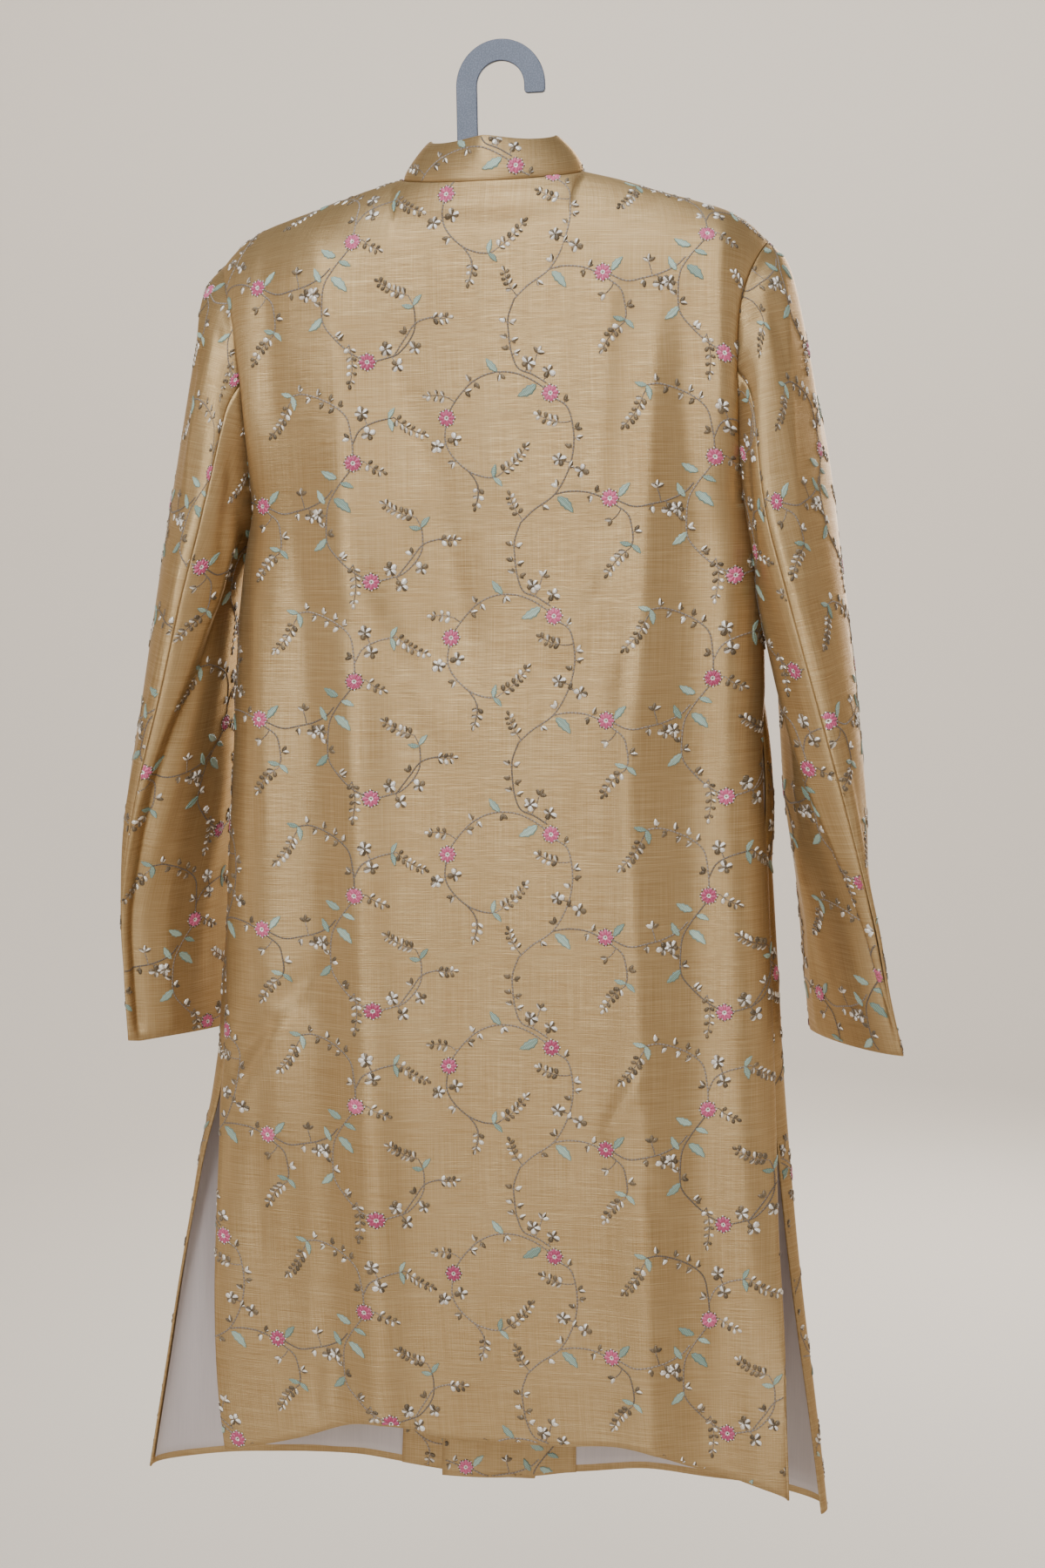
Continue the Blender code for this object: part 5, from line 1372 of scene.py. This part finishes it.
def make_pocket(side, back_inside, front_inside):
    """The bag's strip behind the mouth and a piped welt along each lip."""
    name = NAMES[side]
    levels = SIDE_LEVELS[:, 0]

    def rows(beyond):
        used = (levels > POCKET_BOTTOM_Z - beyond) & (levels < POCKET_TOP_Z + beyond)
        return ARM_ROWS + 1 + np.flatnonzero(used)

    bag_rows = rows(POCKET_BEYOND)
    inward = np.array([-side, 0.0, 0.0])
    start = back_inside[bag_rows, -1 - POCKET_COLUMN if side > 0 else POCKET_COLUMN] + inward * GAP
    end = front_inside[bag_rows, POCKET_COLUMN] + inward * GAP
    deep = (start + end) / 2 + inward * POCKET_DEPTH
    t = np.linspace(0.0, 1.0, 9)[None, :, None]
    path = start[:, None] * (1 - t) ** 2 + 2 * deep[:, None] * t * (1 - t) + end[:, None] * t**2
    path = path + inward * BAG_BELLY * np.sin(math.pi * t)
    flip = (outward(path, False)[..., 0] * side).sum() < 0
    bag = new_sheet(path, flip, 0, 4)
    sew("pocket_" + name, bag, bag.points - LINING_WALL * bag.normals, flip)
    back_lip, front_lip = back_inside[:, -1 if side > 0 else 0], front_inside[:, 0]
    for lip, points, way in (("back", back_lip, -1), ("front", front_lip, 1)):
        line = points[rows(LIP_BEYOND)] + (side * WELT_PLACE[0], way * WELT_PLACE[1], 0.0)
        tube("pocket_%s_welt_%s" % (name, lip), line, WELT_RADIUS, 8, SILK)
        line = line + (side * PIPING_PLACE[0], way * PIPING_PLACE[1], 0.0)
        tube("pocket_%s_piping_%s" % (name, lip), line, PIPING_RADIUS, 6, SATIN)


def centre_depth(z):
    """Depth of the left front on the centre line."""
    if z > UNDERARM_Z:
        top_z = neckline_top(0.0, *FRONT_NECK)[0]
        return float(front_arm(-1, np.array(0.0), (top_z - z) / (top_z - UNDERARM_Z))[..., 1])
    return float(front_skirt(-1, np.array(0.0), np.array(z))[..., 1])


# the button's section from the crown to the foot: share of the radius, share of the height, and fluting
BUTTON_SECTION = (
    (0.10, 1.00, 0.0), (0.30, 0.98, 0.2), (0.50, 0.92, 0.6), (0.68, 0.80, 1.0), (0.80, 0.66, 0.6),
    (0.85, 0.54, 0.0), (0.90, 0.58, 0.5), (0.96, 0.52, 0.9), (1.00, 0.34, 0.5),
    (0.98, 0.16, 0.0), (0.90, 0.00, 0.0),
)


def make_button(number, z, metal):
    """A domed button with a beaded rim and fine flutes, and its worked buttonhole."""
    sides = 72
    angle = round_angles(sides)
    verts = [[[0.0, 0.0, BUTTON_HEIGHT]]]
    for share, rise, flute in BUTTON_SECTION:
        wave = np.cos(angle * (12 if share < 0.83 else 24))
        radius = BUTTON_RADIUS * share * (1 + 0.010 * flute * wave)
        height = BUTTON_HEIGHT * (rise + 0.035 * flute * wave)
        verts.append(np.stack([radius * np.cos(angle), radius * np.sin(angle), height], axis=1))
    verts = np.concatenate(verts)
    quads = grid_faces(len(BUTTON_SECTION), sides, closed=True, start=1)
    top = np.stack([np.zeros(sides, int), quads[:sides, 0], quads[:sides, 3]], axis=1)
    foot = quads[-sides:, 1][::-1][None]
    slope = (centre_depth(z - BUTTON_RADIUS) - centre_depth(z + BUTTON_RADIUS)) / (2 * BUTTON_RADIUS)
    direction = Vector((0.0, 1.0, slope)).normalized()
    turn = np.array(direction.to_track_quat("Z", "Y").to_matrix())
    place = np.array([float(MIDDLE.front(z)), centre_depth(z), z]) + np.array(direction) * 2 * GAP
    faces, verts_there = [quads, top, foot], verts @ turn.T + place
    made = make_mesh("button_%d_dome" % number, verts_there, faces, verts[:, :2], [metal])
    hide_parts("button_%d" % number)
    # the buttonhole runs from under the button towards the front edge
    angle = round_angles(40)
    right, off = np.array([1.0, 0.0, 0.0]), turn[:, 2]
    x = np.clip(np.cos(angle) * 1.25, -1.0, 1.0) * 0.0085 + 0.0095
    y = np.sin(angle) * 0.0016
    hole = place + x[:, None] * right + y[:, None] * np.cross(right, off) + 0.0004 * off
    hole = np.concatenate([hole, hole[:1]])
    tube("buttonhole_%d" % number, hole, BUTTONHOLE_RADIUS, 6, THREADS[BROWN])


def make_hook(face, edge):
    """The flat hook with its edges eased, and its sides in a darker finish that paints their shade."""
    inner, width, thick = 0.0193, 0.0170, 0.0045
    centre, tip, bevel = -0.0193, -0.0193 - 0.0070, 0.0025
    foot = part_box("hanger_hook")[0][2]
    outer = inner + width
    turns = [math.pi * i / 40 for i in range(41)]
    outline = [(-outer, foot)]
    outline += [(outer * math.cos(math.pi - a), centre + outer * math.sin(math.pi - a)) for a in turns]
    outline += [(outer, tip + bevel), (outer - bevel * 0.3, tip + bevel * 0.3), (outer - bevel, tip)]
    outline += [(inner + bevel, tip), (inner + bevel * 0.3, tip + bevel * 0.3), (inner, tip + bevel)]
    outline += [(inner * math.cos(a), centre + inner * math.sin(a)) for a in turns]
    outline.append((-inner, foot))
    shape = bmesh.new()
    plate = shape.faces.new([shape.verts.new((x, -thick / 2, z)) for x, z in outline])
    raised = bmesh.ops.extrude_face_region(shape, geom=[plate])
    moved = [item for item in raised["geom"] if isinstance(item, bmesh.types.BMVert)]
    bmesh.ops.translate(shape, vec=(0.0, thick, 0.0), verts=moved)
    bmesh.ops.recalc_face_normals(shape, faces=shape.faces)
    level = [item for item in shape.edges if abs(item.verts[0].co.y - item.verts[1].co.y) < 1e-6]
    sharp = [item for item in level if abs(item.calc_face_angle(0.0)) > 1.0]
    bmesh.ops.bevel(shape, geom=sharp, offset=0.0006, segments=2, profile=0.5, affect="EDGES")
    # faces take the grey; the sides take the darker finish, painted shade
    for item in shape.faces:
        item.material_index = 0 if abs(item.normal.y) > 0.9 else 1
        item.smooth = abs(item.normal.y) < 0.9
    mesh = bpy.data.meshes.new("hook_plate")
    shape.to_mesh(mesh)
    shape.free()
    mesh.materials.append(face)
    mesh.materials.append(edge)
    made = show("hook_plate", mesh)
    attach(made, "root")
    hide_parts("hanger_hook")


# ---------------------------------------------------------------- stage, lights and camera
def make_stage():
    """A pale floor that curves up into a wall all round."""
    floor_z, radius, bend, sides = -1.75, 3.2, 1.6, 96
    profile = [(0.0, floor_z)]
    for angle in [math.pi / 2 * i / 12 for i in range(13)]:
        profile.append((radius + bend * math.sin(angle), floor_z + bend * (1 - math.cos(angle))))
    profile.append((radius + bend, 2.6))
    verts = [(out * math.cos(a), out * math.sin(a), z) for out, z in profile for a in round_angles(sides)]
    mesh = bpy.data.meshes.new("studio_floor")
    faces = grid_faces(len(profile), sides, closed=True)[:, [0, 3, 2, 1]]
    mesh.from_pydata(verts, [], faces.tolist())
    mesh.shade_smooth()
    mesh.materials.append(Finish("studio_pale", (222, 214, 204), 0.85).material)
    show("studio_floor", mesh)


def around(azimuth, height, distance):
    """A place seen from the coat's middle at an azimuth from its back, positive to the right."""
    turn = math.radians(azimuth)
    return (distance * math.sin(turn), -distance * math.cos(turn), height)


MIDDLE_PLACE = (0.0, 0.0, -0.6)
COOL, WARM, WHITE = (0.90, 0.96, 1.0), (1.0, 0.93, 0.84), (1.0, 0.97, 0.93)
# lights: name, place, aim, size, power and colour
LIGHTS = (
    ("key", around(-10.5, 0.35, 2.8), (0.0, 0.0, -0.40), (0.66, 1.8), 54.0, COOL),
    ("left", around(-66.0, -0.1, 2.9), MIDDLE_PLACE, (1.0, 2.0), 9.0, WARM),
    ("right", around(70.0, -0.1, 2.9), MIDDLE_PLACE, (1.0, 2.0), 6.0, WARM),
    ("top", (0.1, -0.9, 1.9), MIDDLE_PLACE, (1.6, 1.6), 55.0, COOL),
    ("front", around(165.0, 0.3, 2.9), MIDDLE_PLACE, (1.4, 2.2), 55.0, WHITE),
    ("backdrop", (0.0, 1.6, 1.9), (0.0, 4.8, -0.6), (3.0, 1.0), 140.0, WHITE),
)


def make_lights():
    for name, place, aim, size, power, colour in LIGHTS:
        light = bpy.data.lights.new(name, "AREA")
        light.shape = "RECTANGLE"
        light.size, light.size_y = size
        light.energy = power
        light.color = colour
        made = show(name, light)
        made.location = place
        made.rotation_euler = (Vector(aim) - Vector(place)).to_track_quat("-Z", "Y").to_euler()
    world = bpy.data.worlds.new("studio")
    world.use_nodes = True
    background = world.node_tree.nodes["Background"]
    background.inputs["Color"].default_value = (0.95, 0.90, 0.83, 1.0)
    background.inputs["Strength"].default_value = 0.13
    bpy.context.scene.world = world


def make_camera():
    azimuth, pitch, roll = math.radians(10.0), math.radians(6.2), math.radians(1.0)
    near = math.cos(pitch)
    forward = Vector((-math.sin(azimuth) * near, math.cos(azimuth) * near, -math.sin(pitch)))
    level = Vector((math.cos(azimuth), math.sin(azimuth), 0.0))
    upright = level.cross(forward)
    right = level * math.cos(roll) - upright * math.sin(roll)
    up = level * math.sin(roll) + upright * math.cos(roll)
    data = bpy.data.cameras.new("camera")
    data.lens = 50.0
    data.sensor_width = 36.0
    data.clip_start = 0.05
    data.clip_end = 50.0
    made = show("camera", data)
    turn = Matrix((right, up, -forward)).transposed().to_4x4()
    made.matrix_world = Matrix.Translation((0.3201, -1.7713, -0.3883)) @ turn
    bpy.context.scene.camera = made


make_camera()
make_stage()
make_lights()
back_inside = make_back()
front_insides = {side: make_front(side) for side in (-1, 1)}
for side in (-1, 1):
    make_sleeve(side)
make_collar()
for side in (-1, 1):
    make_pocket(side, back_inside, front_insides[side])
metal = grained(
    "aged_metal", (176, 142, 84), 0.32, 420.0, (112, 84, 44), (206, 174, 112), (0.2, 0.0002),
    metallic=0.9, shade=worn, rough=(0.3, 0.7, 0.42, 0.26),
)
for number in range(BUTTON_COUNT):
    make_button(number + 1, BUTTON_TOP_Z - BUTTON_SPACING * number, metal)
grey = grained(
    "speckled_grey", (96, 104, 122), 0.42, 900.0, (66, 74, 94), (106, 114, 134), (0.25, 0.0002),
    shade=speckles,
)
# the hook's sides get a darker grain as painted shade
make_hook(grey, grained("hook_side_shade", (44, 47, 56), 0.5, 700.0, (34, 37, 45), (66, 70, 80), (0.2, 0.0002)))
black = grained("hanger_black", (38, 38, 41), 0.45, 350.0, (30, 30, 33), (52, 52, 56), (0.15, 0.0003))
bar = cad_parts["hanger_bar"]
bar.data.materials.clear()
bar.data.materials.append(black)
